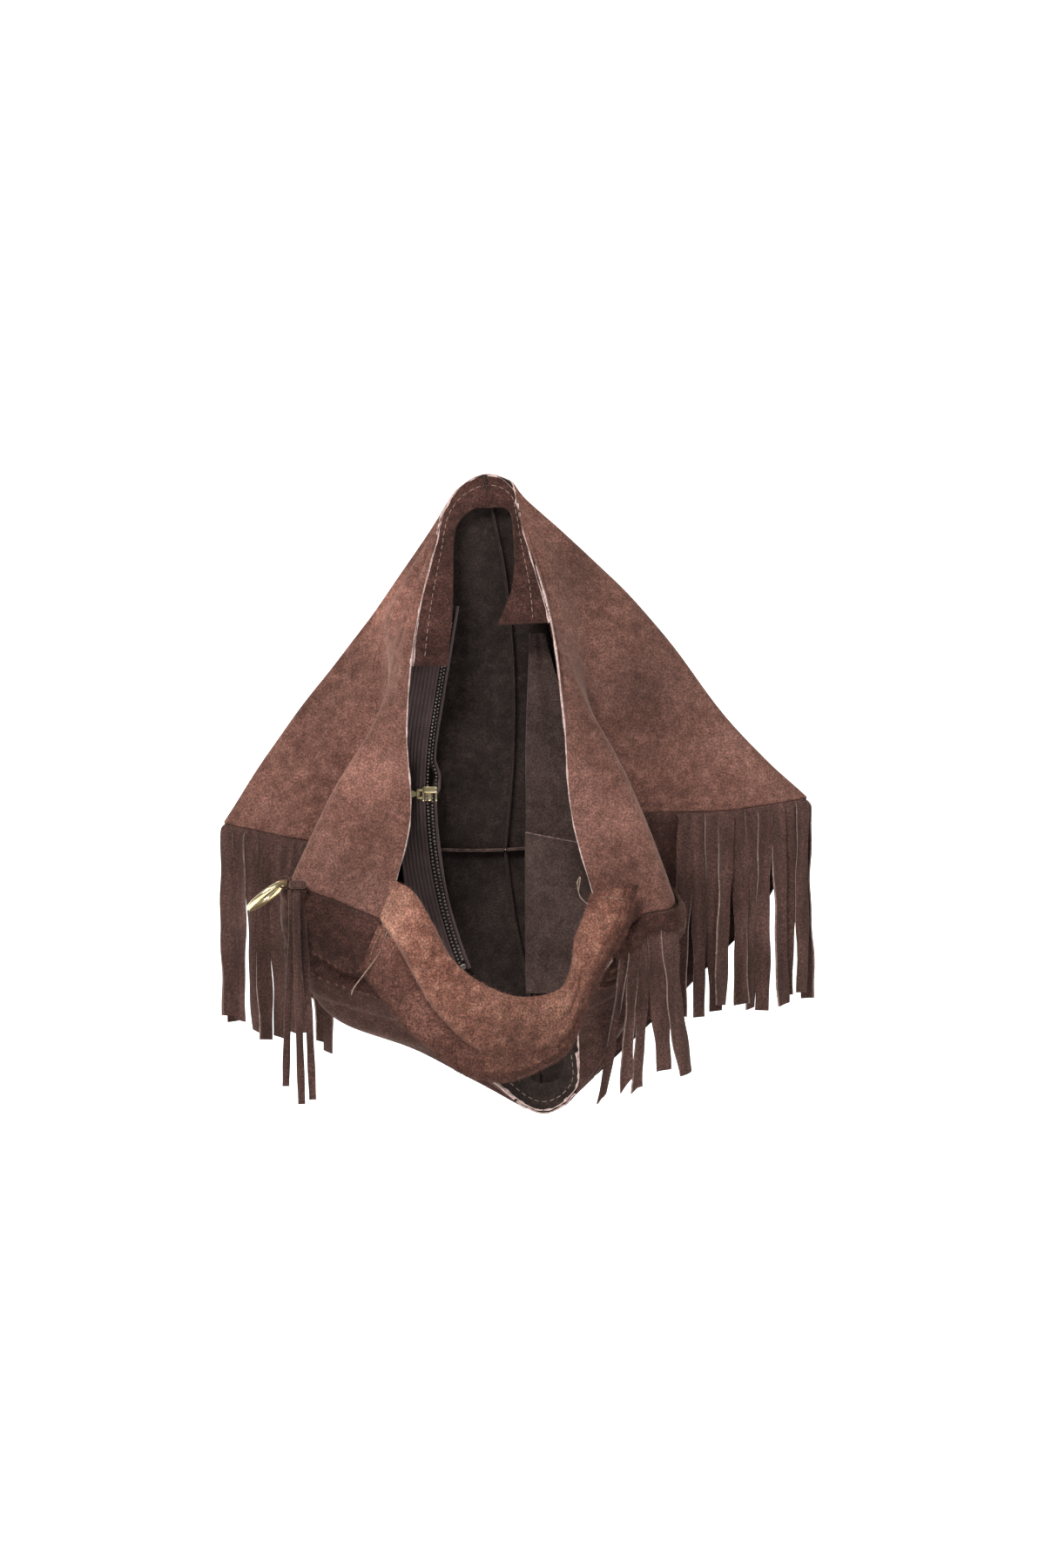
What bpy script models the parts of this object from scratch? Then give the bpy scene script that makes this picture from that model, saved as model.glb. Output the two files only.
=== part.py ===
"""Fringed suede shoulder bag, hung by the notch of its rear rim.

Metres, +Z up. The origin is the hang point, in the notch of the rear rim. +X is to the right and -Y is
towards someone who faces the bag. The bag is a rhombus of suede hung by one corner: its back is flat, and
its two side corners are folded forward, tucked once like a paper fan, and joined to the ends of the handle.
All lengths below are in millimetres and are turned into metres when a mesh is made.
"""
import math

import bmesh
import bpy
import numpy as np
from mathutils import Matrix, Vector

MM = 0.001

# ---- driving dimensions, in millimetres -------------------------------------------------------------
SUEDE = 1.4             # thickness of the panels
FACING = 1.2            # thickness of the strips that stiffen the rims
SEAM_GAP = 0.3          # air left between two pieces that are sewn together
CENTRE_GAP = 0.5        # each panel's edge stands this far from the middle of the centre seam
HANDLE_THICK = 6.0      # folded band, across its two layers at mid length
HANDLE_END_THICK = 3.4  # the same, where it is sewn flat to the bag
STRIP_PITCH = 7.3       # fringe: distance from one strip to the next
STRIP_WIDTH = 6.5       # fringe: width of a strip
STRIP_LENGTH = 106.0    # fringe: cut length below its band
STRIP_THICK = 1.1
BAND_HEIGHT = 3.0       # fringe: uncut band that is caught in the seam

ZIP_X, ZIP_Y, ZIP_Z = -28.5, -19.0, -170.0  # where the slider stands, on the middle of the chain
ZIP_RADIUS = 250.0      # the chain hangs in an arc that bulges to the left
ROW_OFFSET = 1.3        # from the chain's middle line to the middle of one row of teeth
ROW_WIDTH, ROW_THICK = 1.2, 1.6
ZIP_TOP, ZIP_BOTTOM = 92.0, -93.0           # ends of the rows, measured along the arc from the slider
TAPE_THICK = 0.6
TAPE_WIDTH = 16.0

RING_RADIUS = 11.3      # to the middle of its wire
RING_WIRE = 1.5
RING_PIVOT = np.array([-103.0, -75.0, -216.0])
RING_DROOP = math.radians(37.0)   # below level, leaning on the fringe
RING_TURN = math.radians(8.0)     # turned out of edge-on
LACE_WIDTH = 3.6

# ---- materials: colour, roughness, metallic --------------------------------------------------------
FINISHES = {
    "suede": ((0.165, 0.070, 0.050), 0.95, 0.0),
    "suede_rough": ((0.115, 0.048, 0.036), 1.0, 0.0),
    "suede_handle": ((0.200, 0.090, 0.062), 0.95, 0.0),
    "zip_tape": ((0.055, 0.035, 0.033), 0.9, 0.0),
    "zip_metal": ((0.10, 0.10, 0.105), 0.4, 1.0),
    "gold": ((0.83, 0.69, 0.36), 0.22, 1.0),
}

# ---- the suede: rays that fan out from the notch of each rim ---------------------------------------
# Rear: from the hang point down to the side seams and the bottom seam, left rim to right rim.
REAR_RAYS = [
    [(-25, -8, -32), (-36, -34, -84), (-40, -52, -135), (-38, -67, -185), (-51, -80, -235)],      # rim
    [(-25, -8, -31), (-39, -31, -82), (-47, -49, -131), (-57, -65, -179), (-75, -77, -225)],      # flap
    [(-25, -7, -29), (-41, -25, -77), (-54, -41, -126), (-78, -55, -170), (-99, -67, -214)],      # fold
    [(-24, -6, -26), (-49, -15, -74), (-51, -21, -121), (-60, -24, -163), (-71, -27, -200)],      # tuck
    [(-23, -5, -24), (-51, -9, -71), (-67, -13, -113), (-86, -15, -155), (-106, -16, -192)],      # wing
    [(-23, -4, -21), (-55, -3, -68), (-85, -2, -107), (-114, -2, -147), (-138, -2, -185)],        # side
    [(-15, -2, -10), (-26, -2, -56), (-39, -2, -102), (-52, -3, -149), (-63, -5, -196)],          # back
    [(0, -1, -2), (11, -2, -47), (16, -4, -99), (16, -6, -150), (12, -7, -199)],                  # centre
    [(13, -2, -5), (31, -2, -49), (52, -2, -94), (73, -3, -140), (92, -5, -188)],                 # back
    [(16, -4, -10), (59, -3, -45), (95, -2, -83), (133, -2, -132), (173, -2, -172)],              # side
    [(18, -5, -13), (51, -9, -50), (78, -13, -92), (106, -15, -139), (131, -16, -178)],           # wing
    [(19, -6, -15), (42, -15, -57), (53, -21, -104), (61, -24, -146), (68, -27, -184)],           # tuck
    [(20, -7, -19), (36, -25, -67), (53, -41, -118), (77, -55, -164), (100, -67, -224)],          # fold
    [(20, -8, -21), (36, -31, -75), (46, -49, -128), (62, -65, -178), (82, -77, -233)],           # flap
    [(21, -8, -24), (36, -34, -77), (43, -52, -131), (48, -67, -185), (67, -80, -250)],           # rim
]
# Front: from the notch of the front rim, which hangs lowest, up to the same seams.
FRONT_RAYS = [
    [(17, -48, -331), (-4, -58, -313), (-22, -66, -297), (-38, -72, -269), (-51, -80, -237)],     # rim
    [(18, -47, -332), (-9, -54, -312), (-29, -60, -296), (-53, -68, -272), (-75, -77, -227)],     # flap
    [(20, -46, -334), (-29, -47, -306), (-78, -50, -287), (-97, -58, -256), (-99, -67, -216)],    # fold
    [(22, -45, -335), (-32, -34, -303), (-71, -18, -277), (-81, -16, -238), (-71, -27, -202)],    # tuck
    [(23, -44, -336), (-33, -31, -304), (-82, -12, -280), (-100, -9, -232), (-106, -16, -194)],   # wing
    [(24, -44, -336), (-34, -29, -304), (-87, -9, -280), (-107, -6, -228), (-138, -2, -187)],     # side
    [(28, -42, -338), (-9, -28, -305), (-39, -13, -269), (-54, -7, -235), (-63, -5, -198)],       # back
    [(32, -40, -339), (28, -26, -308), (24, -13, -272), (17, -8, -237), (12, -7, -201)],          # centre
    [(37, -42, -338), (53, -27, -305), (68, -13, -270), (82, -7, -230), (92, -5, -190)],          # back
    [(42, -44, -335), (78, -24, -302), (114, -9, -268), (152, -4, -226), (173, -2, -174)],        # side
    [(44, -45, -334), (74, -26, -302), (102, -12, -266), (130, -9, -225), (131, -16, -180)],      # wing
    [(45, -45, -333), (63, -33, -302), (74, -22, -266), (74, -20, -226), (68, -27, -186)],        # tuck
    [(47, -46, -330), (65, -48, -307), (82, -50, -281), (95, -57, -251), (100, -67, -226)],       # fold
    [(49, -47, -328), (60, -54, -308), (69, -59, -284), (77, -67, -261), (82, -77, -235)],        # flap
    [(52, -48, -323), (51, -55, -307), (51, -63, -289), (58, -72, -269), (67, -80, -252)],        # rim
]
CENTRE_RAY = 7          # the centre seam's place in both lists
FOLD_RAYS = (2, 3, 5, 9, 11, 12)         # rays where the suede doubles back
FOLD_STEPS = (-0.3, -0.12, 0.12, 0.3)    # extra grid lines beside each of them, in rays
FOLD_REACH, FOLD_THIN = 6.0, 0.25        # the suede thins towards a fold, from this far, to this share

# Stiffening strips inside the two rims: pairs of (edge at the rim, free inner edge), left to right.
REAR_FACING = [
    ((-35, -37, -103), (-19, -32, -102)), ((-32, -26, -72), (-16, -26, -70)),
    ((-22.5, -9, -34), (-16, -17, -43)), ((-19.5, -6, -20), (-14, -10, -26)),
    ((-12, -4.6, -10), (-6, -8, -17)), ((0, -4, -5), (3, -8, -16)), ((12, -5, -8), (13, -8, -17)),
    ((15.5, -8, -17), (16, -12, -26)), ((20, -11, -32), (17, -17, -45)),
    ((27, -23, -58), (15, -25, -62)), ((33.5, -34, -79), (8, -29, -80)),
]
FRONT_FACING = [
    ((-14, -59, -301), (-4, -52, -293)), ((10, -49, -322), (17, -46, -313)),
    ((22, -49, -331), (26, -45, -321)), ((32, -45, -335), (33, -43, -323)),
    ((42, -49, -330), (41, -46, -320)), ((48.5, -51, -321), (43, -48, -312)),
    ((47.5, -55, -306), (40, -50, -297)),
]

# The handle hangs in a loop: pairs of (upper edge, lower edge) along it, left end to right end.
HANDLE_EDGES = [
    ((-45, -84, -215), (-62, -84, -261)), ((-35, -90, -221), (-50, -92, -277)),
    ((-25, -96, -237), (-40, -98, -289)), ((-15, -100, -255), (-26, -104, -301)),
    ((0, -104, -267), (-8, -108, -314)), ((19, -106, -274), (12, -112, -317)),
    ((39, -104, -271), (32, -112, -310)), ((46, -100, -260), (46, -108, -299)),
    ((48, -96, -245), (57, -102, -273)), ((52, -92, -235), (67, -96, -254)),
    ((55, -87, -227), (75, -88, -241)), ((57, -83, -222), (81, -82, -217)),
]

# The pocket that hangs inside: left and right edges of its back, top to bottom.
POCKET_LEFT = [(25, -15, -84), (23, -15, -141), (23, -16, -187), (23, -23, -235), (23, -31, -276)]
POCKET_RIGHT = [(33, -15, -84), (48, -14, -141), (58, -16, -194), (61, -24, -235), (61, -32, -276)]
POCKET_MOUTH = 0.52     # how far down the back the patch's mouth lies
POCKET_ROOM = 9.0       # how far the mouth stands open at its middle

# Stretches of the side seams that carry fringe, in ray numbers: outer ones from the side to the tuck, and on
# the right an inner one from the fold to the rim. The strips inside the tuck are left out.
LEFT_FRINGE = (5.0, 3.55)
RIGHT_FRINGE = (9.0, 10.45)
RIGHT_INNER_FRINGE = (12.25, 13.9)
INNER_SHARE = 0.8       # the inner strips' length, as a share of the others'
FRINGE_OVERHANG = 6.0   # how far the band runs on past the side corner
FRINGE_DROP = 2.6       # the band's top edge lies this far below the seam
FRINGE_STAND = 2.4      # and its middle this far out from the front panel's edge


def clear_scene():
    """Empty the file this script runs in."""
    for obj in list(bpy.data.objects):
        bpy.data.objects.remove(obj, do_unlink=True)


def finish(name):
    """One Principled material for each finish, made the first time it is asked for."""
    if name in bpy.data.materials:
        return bpy.data.materials[name]
    colour, roughness, metallic = FINISHES[name]
    material = bpy.data.materials.new(name)
    material.use_nodes = True
    shader = material.node_tree.nodes["Principled BSDF"]
    shader.inputs["Base Color"].default_value = (*colour, 1.0)
    shader.inputs["Roughness"].default_value = roughness
    shader.inputs["Metallic"].default_value = metallic
    material.diffuse_color = (*colour, 1.0)
    return material


def add_object(name, points_mm, faces, material, pivot_mm=(0.0, 0.0, 0.0)):
    """A mesh object whose points are given in the bag's frame and whose origin is pivot_mm."""
    pivot = np.asarray(pivot_mm, dtype=float)
    points = (np.asarray(points_mm, dtype=float) - pivot) * MM
    mesh = bpy.data.meshes.new(name)
    mesh.from_pydata(points.tolist(), [], [list(face) for face in faces])
    work = bmesh.new()
    work.from_mesh(mesh)
    bmesh.ops.recalc_face_normals(work, faces=work.faces)
    work.to_mesh(mesh)
    work.free()
    obj = bpy.data.objects.new(name, mesh)
    obj.location = Vector(pivot * MM)
    bpy.context.scene.collection.objects.link(obj)
    mesh.materials.append(finish(material))
    mesh.shade_smooth()
    mesh.set_sharp_from_angle(angle=math.radians(40))
    return obj


def spline(points, at):
    """Catmull-Rom curve through points (first axis), read at the fractions `at` from 0 to 1."""
    points = np.asarray(points, dtype=float)
    last = len(points) - 1
    place = np.clip(np.asarray(at, dtype=float), 0.0, 1.0) * last
    start = np.minimum(place.astype(int), last - 1)
    t = (place - start).reshape((-1,) + (1,) * (points.ndim - 1))
    before = points[np.maximum(start - 1, 0)]
    here, there = points[start], points[start + 1]
    after = points[np.minimum(start + 2, last)]
    return 0.5 * (2 * here + (there - before) * t + (2 * before - 5 * here + 4 * there - after) * t**2
                  + (3 * here - before - 3 * there + after) * t**3)


def skin(rays, across, along):
    """A smooth sheet through rays: an array [across, along, xyz]."""
    rays = np.asarray(rays, dtype=float)
    down_rays = spline(rays.transpose(1, 0, 2), along).transpose(1, 0, 2)
    return spline(down_rays, across)


def grid_faces(rows, columns):
    """Quads of a grid whose points are numbered row by row."""
    return [(r * columns + c, (r + 1) * columns + c, (r + 1) * columns + c + 1, r * columns + c + 1)
            for r in range(rows - 1) for c in range(columns - 1)]


def grid_normals(grid):
    """Unit normals of a grid of points."""
    normals = np.cross(np.gradient(grid, axis=0), np.gradient(grid, axis=1))
    return normals / np.linalg.norm(normals, axis=2, keepdims=True)


def thicken(points, faces, offsets):
    """Close a sheet into a solid: a copy on each side at +-offsets, and walls along its free edges."""
    points = np.asarray(points, dtype=float)
    offsets = np.asarray(offsets, dtype=float)
    count = len(points)
    front = [tuple(face) for face in faces]
    back = [tuple(index + count for index in reversed(face)) for face in faces]
    directed = {(face[i], face[(i + 1) % len(face)]) for face in front for i in range(len(face))}
    walls = [(b, a, a + count, b + count) for a, b in directed if (b, a) not in directed]
    walls.sort()
    return np.vstack([points + offsets, points - offsets]), front + back + walls


def sheet(name, grid, thickness, material):
    """A solid sheet of even thickness about a grid of points."""
    rows, columns = grid.shape[:2]
    offsets = grid_normals(grid).reshape(-1, 3) * thickness / 2
    points, faces = thicken(grid.reshape(-1, 3), grid_faces(rows, columns), offsets)
    return add_object(name, points, faces, material)


def tube_rings(rings):
    """A closed solid from rings of points along its length, with flat ends."""
    count, around = rings.shape[:2]
    faces = [(i * around + j, i * around + (j + 1) % around,
              (i + 1) * around + (j + 1) % around, (i + 1) * around + j)
             for i in range(count - 1) for j in range(around)]
    faces.append(tuple(reversed(range(around))))
    faces.append(tuple((count - 1) * around + j for j in range(around)))
    return rings.reshape(-1, 3), faces


def box_points(low, high):
    """The eight corners and six faces of an upright box."""
    (x0, y0, z0), (x1, y1, z1) = low, high
    points = [(x0, y0, z0), (x1, y0, z0), (x1, y1, z0), (x0, y1, z0),
              (x0, y0, z1), (x1, y0, z1), (x1, y1, z1), (x0, y1, z1)]
    faces = [(0, 3, 2, 1), (4, 5, 6, 7), (0, 1, 5, 4), (1, 2, 6, 5), (2, 3, 7, 6), (3, 0, 4, 7)]
    return points, faces


def join_solids(base, tools, operation="UNION"):
    """Apply exact Booleans of the tools to the base, and drop the tools."""
    for tool in tools:
        modifier = base.modifiers.new("join", "BOOLEAN")
        modifier.operation = operation
        modifier.solver = "EXACT"
        modifier.object = tool
    bpy.context.view_layer.update()
    depsgraph = bpy.context.evaluated_depsgraph_get()
    finished = bpy.data.meshes.new_from_object(base.evaluated_get(depsgraph))
    base.modifiers.clear()
    base.data = finished
    for tool in tools:
        bpy.data.objects.remove(tool, do_unlink=True)
    return base


# ---- the four suede panels ---------------------------------------------------------------------------
def panel_columns(first, last):
    """Ray numbers of a panel's grid lines: every half ray, and closer beside the folds."""
    columns = list(np.arange(first, last + 0.25, 0.5))
    columns += [ray + step for ray in FOLD_RAYS for step in FOLD_STEPS if first < ray < last]
    return np.array(sorted(columns))


def skin_normals(rays, across, along):
    """Unit normals of a skin, from its slopes just beside each point."""
    small = 1e-3
    run = skin(rays, across + small, along) - skin(rays, across - small, along)
    fall = skin(rays, across, np.minimum(along + small, 1)) - skin(rays, across, np.maximum(along - small, 0))
    normals = np.cross(run, fall)
    return normals / np.linalg.norm(normals, axis=2, keepdims=True)


def make_panel(name, rays, first, last):
    """One quarter of the bag: the rays from first to last, kept clear of the centre seam."""
    across = panel_columns(first, last) / (len(rays) - 1)
    along = np.linspace(0, 1, 11)
    grid = skin(rays, across, along)
    centre_column = -1 if last == CENTRE_RAY else 0
    grid[centre_column, :, 0] += CENTRE_GAP if first == CENTRE_RAY else -CENTRE_GAP
    folds = skin(rays, np.array(FOLD_RAYS) / (len(rays) - 1), along)
    to_fold = np.linalg.norm(grid[:, None] - folds[None], axis=3).min(axis=1)
    thickness = SUEDE * np.clip(to_fold / FOLD_REACH, FOLD_THIN, 1)
    offsets = skin_normals(rays, across, along) * thickness[..., None] / 2
    points, faces = thicken(grid.reshape(-1, 3), grid_faces(*grid.shape[:2]), offsets.reshape(-1, 3))
    return add_object(name, points, faces, "suede")


def make_panels():
    """Rear and front, left and right."""
    last = len(REAR_RAYS) - 1
    make_panel("rear_left_panel", REAR_RAYS, 0, CENTRE_RAY)
    make_panel("rear_right_panel", REAR_RAYS, CENTRE_RAY, last)
    make_panel("front_left_panel", FRONT_RAYS, 0, CENTRE_RAY)
    make_panel("front_right_panel", FRONT_RAYS, CENTRE_RAY, last)


def make_facing(name, edges, steps):
    """A strip between its rim edge and its free edge."""
    grid = spline(np.asarray(edges, dtype=float), np.linspace(0, 1, steps))
    middle = grid.mean(axis=1, keepdims=True)
    sheet(name, np.concatenate([grid[:, :1], middle, grid[:, 1:]], axis=1), FACING, "suede_rough")


# ---- the handle ---------------------------------------------------------------------------------------
def make_handle():
    """A folded band: flat oval sections between its two edges."""
    at = np.linspace(0, 1, 25)
    edges = spline(np.asarray(HANDLE_EDGES, dtype=float), at)
    centre = edges.mean(axis=1)
    half_width = (edges[:, 0] - edges[:, 1]) / 2
    normal = np.cross(np.gradient(centre, axis=0), half_width)
    normal /= np.linalg.norm(normal, axis=1, keepdims=True)
    thick = HANDLE_END_THICK + (HANDLE_THICK - HANDLE_END_THICK) * np.sin(math.pi * at) ** 0.5
    turn = np.linspace(0, 2 * math.pi, 16, endpoint=False)
    wide = np.sign(np.cos(turn)) * np.abs(np.cos(turn)) ** 0.8
    deep = np.sign(np.sin(turn)) * np.abs(np.sin(turn)) ** 0.6
    rings = (centre[:, None] + half_width[:, None] * wide[None, :, None]
             + normal[:, None] * deep[None, :, None] * thick[:, None, None] / 2)
    points, faces = tube_rings(rings)
    add_object("handle", points, faces, "suede_handle")


# ---- the fringe ---------------------------------------------------------------------------------------
def fringe_line(first, last):
    """The front panel's seam edge between two rays, stepped out by half of both thicknesses and a gap."""
    numbers = np.linspace(first, last, 160)
    edge = skin(FRONT_RAYS, numbers / (len(FRONT_RAYS) - 1), np.array([0.96, 1.0]))
    outward = np.cross(np.gradient(edge[:, 1], axis=0), edge[:, 1] - edge[:, 0])
    outward[:, 2] = 0.0
    outward /= np.linalg.norm(outward, axis=1, keepdims=True)
    outward *= -1 if first > CENTRE_RAY else 1
    return edge[:, 1] + outward * FRINGE_STAND - np.array([0, 0, FRINGE_DROP])


def run_out(line):
    """Carry a line on past its first point, straight out from the side corner."""
    outward = line[0] - line[8]
    return np.vstack([line[0] + outward / np.linalg.norm(outward) * FRINGE_OVERHANG, line])


def read_line(line, distances):
    """Points at the given distances along a line, and its whole length."""
    run = np.concatenate([[0], np.cumsum(np.linalg.norm(np.diff(line, axis=0), axis=1))])
    return np.stack([np.interp(distances, run, line[:, axis]) for axis in range(3)], axis=1), run[-1]


def make_fringe(name, line, starts, length, lean):
    """A comb: a band along the line, with strips hanging straight down from it.

    starts are the distances along the line where strips begin, and lean(i) is how far strip i's foot lies
    to the right of its top.
    """
    marks = np.array([[start, start + STRIP_WIDTH] for start in starts])
    distances = marks.ravel()
    top, _ = read_line(line, distances)
    tangent = np.gradient(top, axis=0)
    across = np.stack([-tangent[:, 1], tangent[:, 0], np.zeros(len(top))], axis=1)
    across /= np.linalg.norm(across, axis=1, keepdims=True)
    columns = len(top)
    points = np.vstack([top, top - np.array([0, 0, BAND_HEIGHT])]).tolist()
    offsets = np.vstack([across, across]).tolist()
    faces = [(c, c + columns, c + columns + 1, c + 1) for c in range(columns - 1)]
    levels = 6
    for index, start in enumerate(starts):
        column = int(np.argmin(np.abs(distances - start)))
        pair = (column + columns, column + columns + 1)
        tops = np.array([points[pair[0]], points[pair[1]]])
        for part in np.linspace(0, 1, levels + 1)[1:]:
            drop = length * (1 + 0.04 * math.sin(5.1 * index)) * part
            shift = (lean(index) * part**1.4, 0.5 * math.sin(2.2 * index) * part, -drop)
            points += (tops + shift).tolist()
            offsets += [offsets[column], offsets[column + 1]]
            below = (len(points) - 2, len(points) - 1)
            faces.append((pair[0], below[0], below[1], pair[1]))
            pair = below
    solid, closed = thicken(points, faces, np.asarray(offsets) * STRIP_THICK / 2)
    add_object(name, solid, closed, "suede")


def strips_along(start, length):
    """Where strips begin along a stretch, evenly, with the last one ending inside it."""
    return [start + STRIP_PITCH * i for i in range(int((length + STRIP_PITCH - STRIP_WIDTH) // STRIP_PITCH))]


def make_fringes():
    """Cut bands of suede caught in the side seams."""
    stretches = [("fringe_left", run_out(fringe_line(*LEFT_FRINGE)), 1.0, 0.0, 0.0),
                 ("fringe_right", run_out(fringe_line(*RIGHT_FRINGE)), 1.0, 0.0, 0.0),
                 ("fringe_right_inner", fringe_line(*RIGHT_INNER_FRINGE), INNER_SHARE, 12.0, -6.0)]
    for name, line, share, first_lean, next_lean in stretches:
        length = read_line(line, np.zeros(1))[1]
        make_fringe(name, line, strips_along(0.0, length), STRIP_LENGTH * share,
                    lambda i, a=first_lean, b=next_lean: a + b * i + 0.3 * math.sin(2.6 * i))


# ---- the zip ------------------------------------------------------------------------------------------
def on_chain(run, right=0.0, back=0.0):
    """A point beside the chain: run mm up its arc from the slider, right and back of its middle line."""
    run, right, back = np.broadcast_arrays(np.asarray(run, float), right, back)
    angle = run / ZIP_RADIUS
    radius = ZIP_RADIUS - right
    return np.stack([ZIP_X + ZIP_RADIUS - radius * np.cos(angle), ZIP_Y + back,
                     ZIP_Z + radius * np.sin(angle)], axis=-1)


def ease(run, start, end):
    """0 before start, 1 after end, smooth between."""
    t = np.clip((np.asarray(run, float) - start) / (end - start), 0, 1)
    return t * t * (3 - 2 * t)


def rear_row_place(run):
    """The rear row runs beside the front one, steps out of the slider and folds back behind it above."""
    right = ROW_OFFSET + 1.9 * ease(run, -1, 3) - 3.2 * ease(run, 9, 20)
    back = 5.5 * ease(run, 3, 9)
    return right, back


def make_row(name, runs, right, back):
    """One row of teeth as a plain bar of the row's width and thickness."""
    corners = [(-0.5, -0.5), (0.5, -0.5), (0.5, 0.5), (-0.5, 0.5)]
    rings = np.stack([on_chain(runs, right + a * ROW_WIDTH, back + b * ROW_THICK) for a, b in corners], axis=1)
    points, faces = tube_rings(rings)
    add_object(name, points, faces, "zip_metal")


def make_tape(name, runs, curve):
    """A ribbon beside a row: curve gives (right, back) lines from the row to its free edge."""
    grid = np.stack([on_chain(runs, right, back) for right, back in curve], axis=1)
    sheet(name, grid, TAPE_THICK, "zip_tape")


def make_zip():
    """Two rows, two tapes, the stops, the slider and its pull."""
    runs = np.linspace(ZIP_BOTTOM, ZIP_TOP, 38)
    make_row("zip_row_front", runs, np.full_like(runs, -ROW_OFFSET), np.zeros_like(runs))
    step_runs = np.concatenate([np.linspace(ZIP_BOTTOM, -6, 15), np.linspace(-4, 22, 14),
                                np.linspace(28, ZIP_TOP, 12)])
    right, back = rear_row_place(step_runs)
    make_row("zip_row_rear", step_runs, right, back)

    row_side = ROW_OFFSET + ROW_WIDTH / 2 + SEAM_GAP + 0.1
    tape_runs = np.linspace(ZIP_BOTTOM - 8, ZIP_TOP + 10, 27)
    pinch = np.exp(-(tape_runs / 25.0) ** 2)
    width = TAPE_WIDTH - 7.5 * pinch
    level = np.zeros_like(pinch)
    front = [(level - row_side, level), (level - row_side - 3.6, level),
             (-row_side - (3.6 + width) / 2, 3.0 * pinch), (-row_side - width, 8.0 * pinch)]
    make_tape("zip_tape_front", tape_runs, front)
    rear_runs = np.concatenate([[ZIP_BOTTOM - 4], step_runs, [ZIP_TOP + 10]])
    right, back = rear_row_place(rear_runs)
    beside = right + ROW_WIDTH / 2 + SEAM_GAP + TAPE_THICK / 2
    rear = [(beside, back), (beside + 0.9, back + 0.9), (beside + 0.8, back + 2.6), (beside - 2.6, back + 4.2)]
    make_tape("zip_tape_rear", rear_runs, rear)
    make_stops()
    make_slider()
    make_pull()


def chain_box(name, runs, rights, backs, material, pivot=(0, 0, 0)):
    """A small block lined up with the chain."""
    corners = [(a, b, c) for a in runs for b in rights for c in backs]
    points = [on_chain(a, b, c) for a, b, c in corners]
    faces = [(0, 1, 3, 2), (4, 6, 7, 5), (0, 4, 5, 1), (2, 3, 7, 6), (0, 2, 6, 4), (1, 5, 7, 3)]
    return add_object(name, points, faces, material, pivot)


def make_stops():
    """The crimped blocks that keep the slider on the chain."""
    chain_box("zip_top_stop", (ZIP_TOP + 0.4, ZIP_TOP + 3.0), (-1.85, -0.4), (-1.1, 1.1), "zip_metal")
    chain_box("zip_bottom_stop", (ZIP_BOTTOM - 3.2, ZIP_BOTTOM - 0.4), (-1.85, 1.85), (-1.1, 1.1), "zip_metal")


PLATE_HALF = 4.0        # half width of the slider's plates
SLIDER_HALF = 4.0       # half its length
BAIL_REACH = 6.5        # from the chain's middle to the bail's rod
BAIL_ROD = 0.45
PULL_LENGTH, PULL_HALF, PULL_THICK = 17.0, 2.0, 1.0


def make_slider():
    """A yoke in front, a plate behind, a web between the rows, and a bail on its left for the pull."""
    pivot = (ZIP_X + ZIP_RADIUS, ZIP_Y, ZIP_Z)
    front, back = (-2.4, -1.2), (1.2, 2.2)
    bar = chain_box("zip_slider", (0.5, SLIDER_HALF), (-PLATE_HALF, PLATE_HALF), front, "gold", pivot)
    parts = [
        chain_box("leg_left", (-SLIDER_HALF, 0.6), (-PLATE_HALF, -PLATE_HALF + 1.1), front, "gold"),
        chain_box("leg_right", (-SLIDER_HALF, 0.6), (PLATE_HALF - 1.1, PLATE_HALF), front, "gold"),
        chain_box("plate", (-SLIDER_HALF + 0.05, SLIDER_HALF - 0.05), (-PLATE_HALF, 1.5), back, "gold"),
        chain_box("web", (0.6, SLIDER_HALF - 0.1), (-0.25, 0.25), (-1.3, 1.3), "gold"),
        chain_box("foot_low", (-2.5, -1.6), (-BAIL_REACH - 0.4, -PLATE_HALF + 0.2), (-2.25, -1.35), "gold"),
        chain_box("foot_high", (1.6, 2.5), (-BAIL_REACH - 0.4, -PLATE_HALF + 0.2), (-2.25, -1.35), "gold"),
        chain_box("rod", (-1.7, 1.7), (-BAIL_REACH - 0.32, -BAIL_REACH + 0.32), (-2.12, -1.48), "gold"),
    ]
    join_solids(bar, parts)


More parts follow.
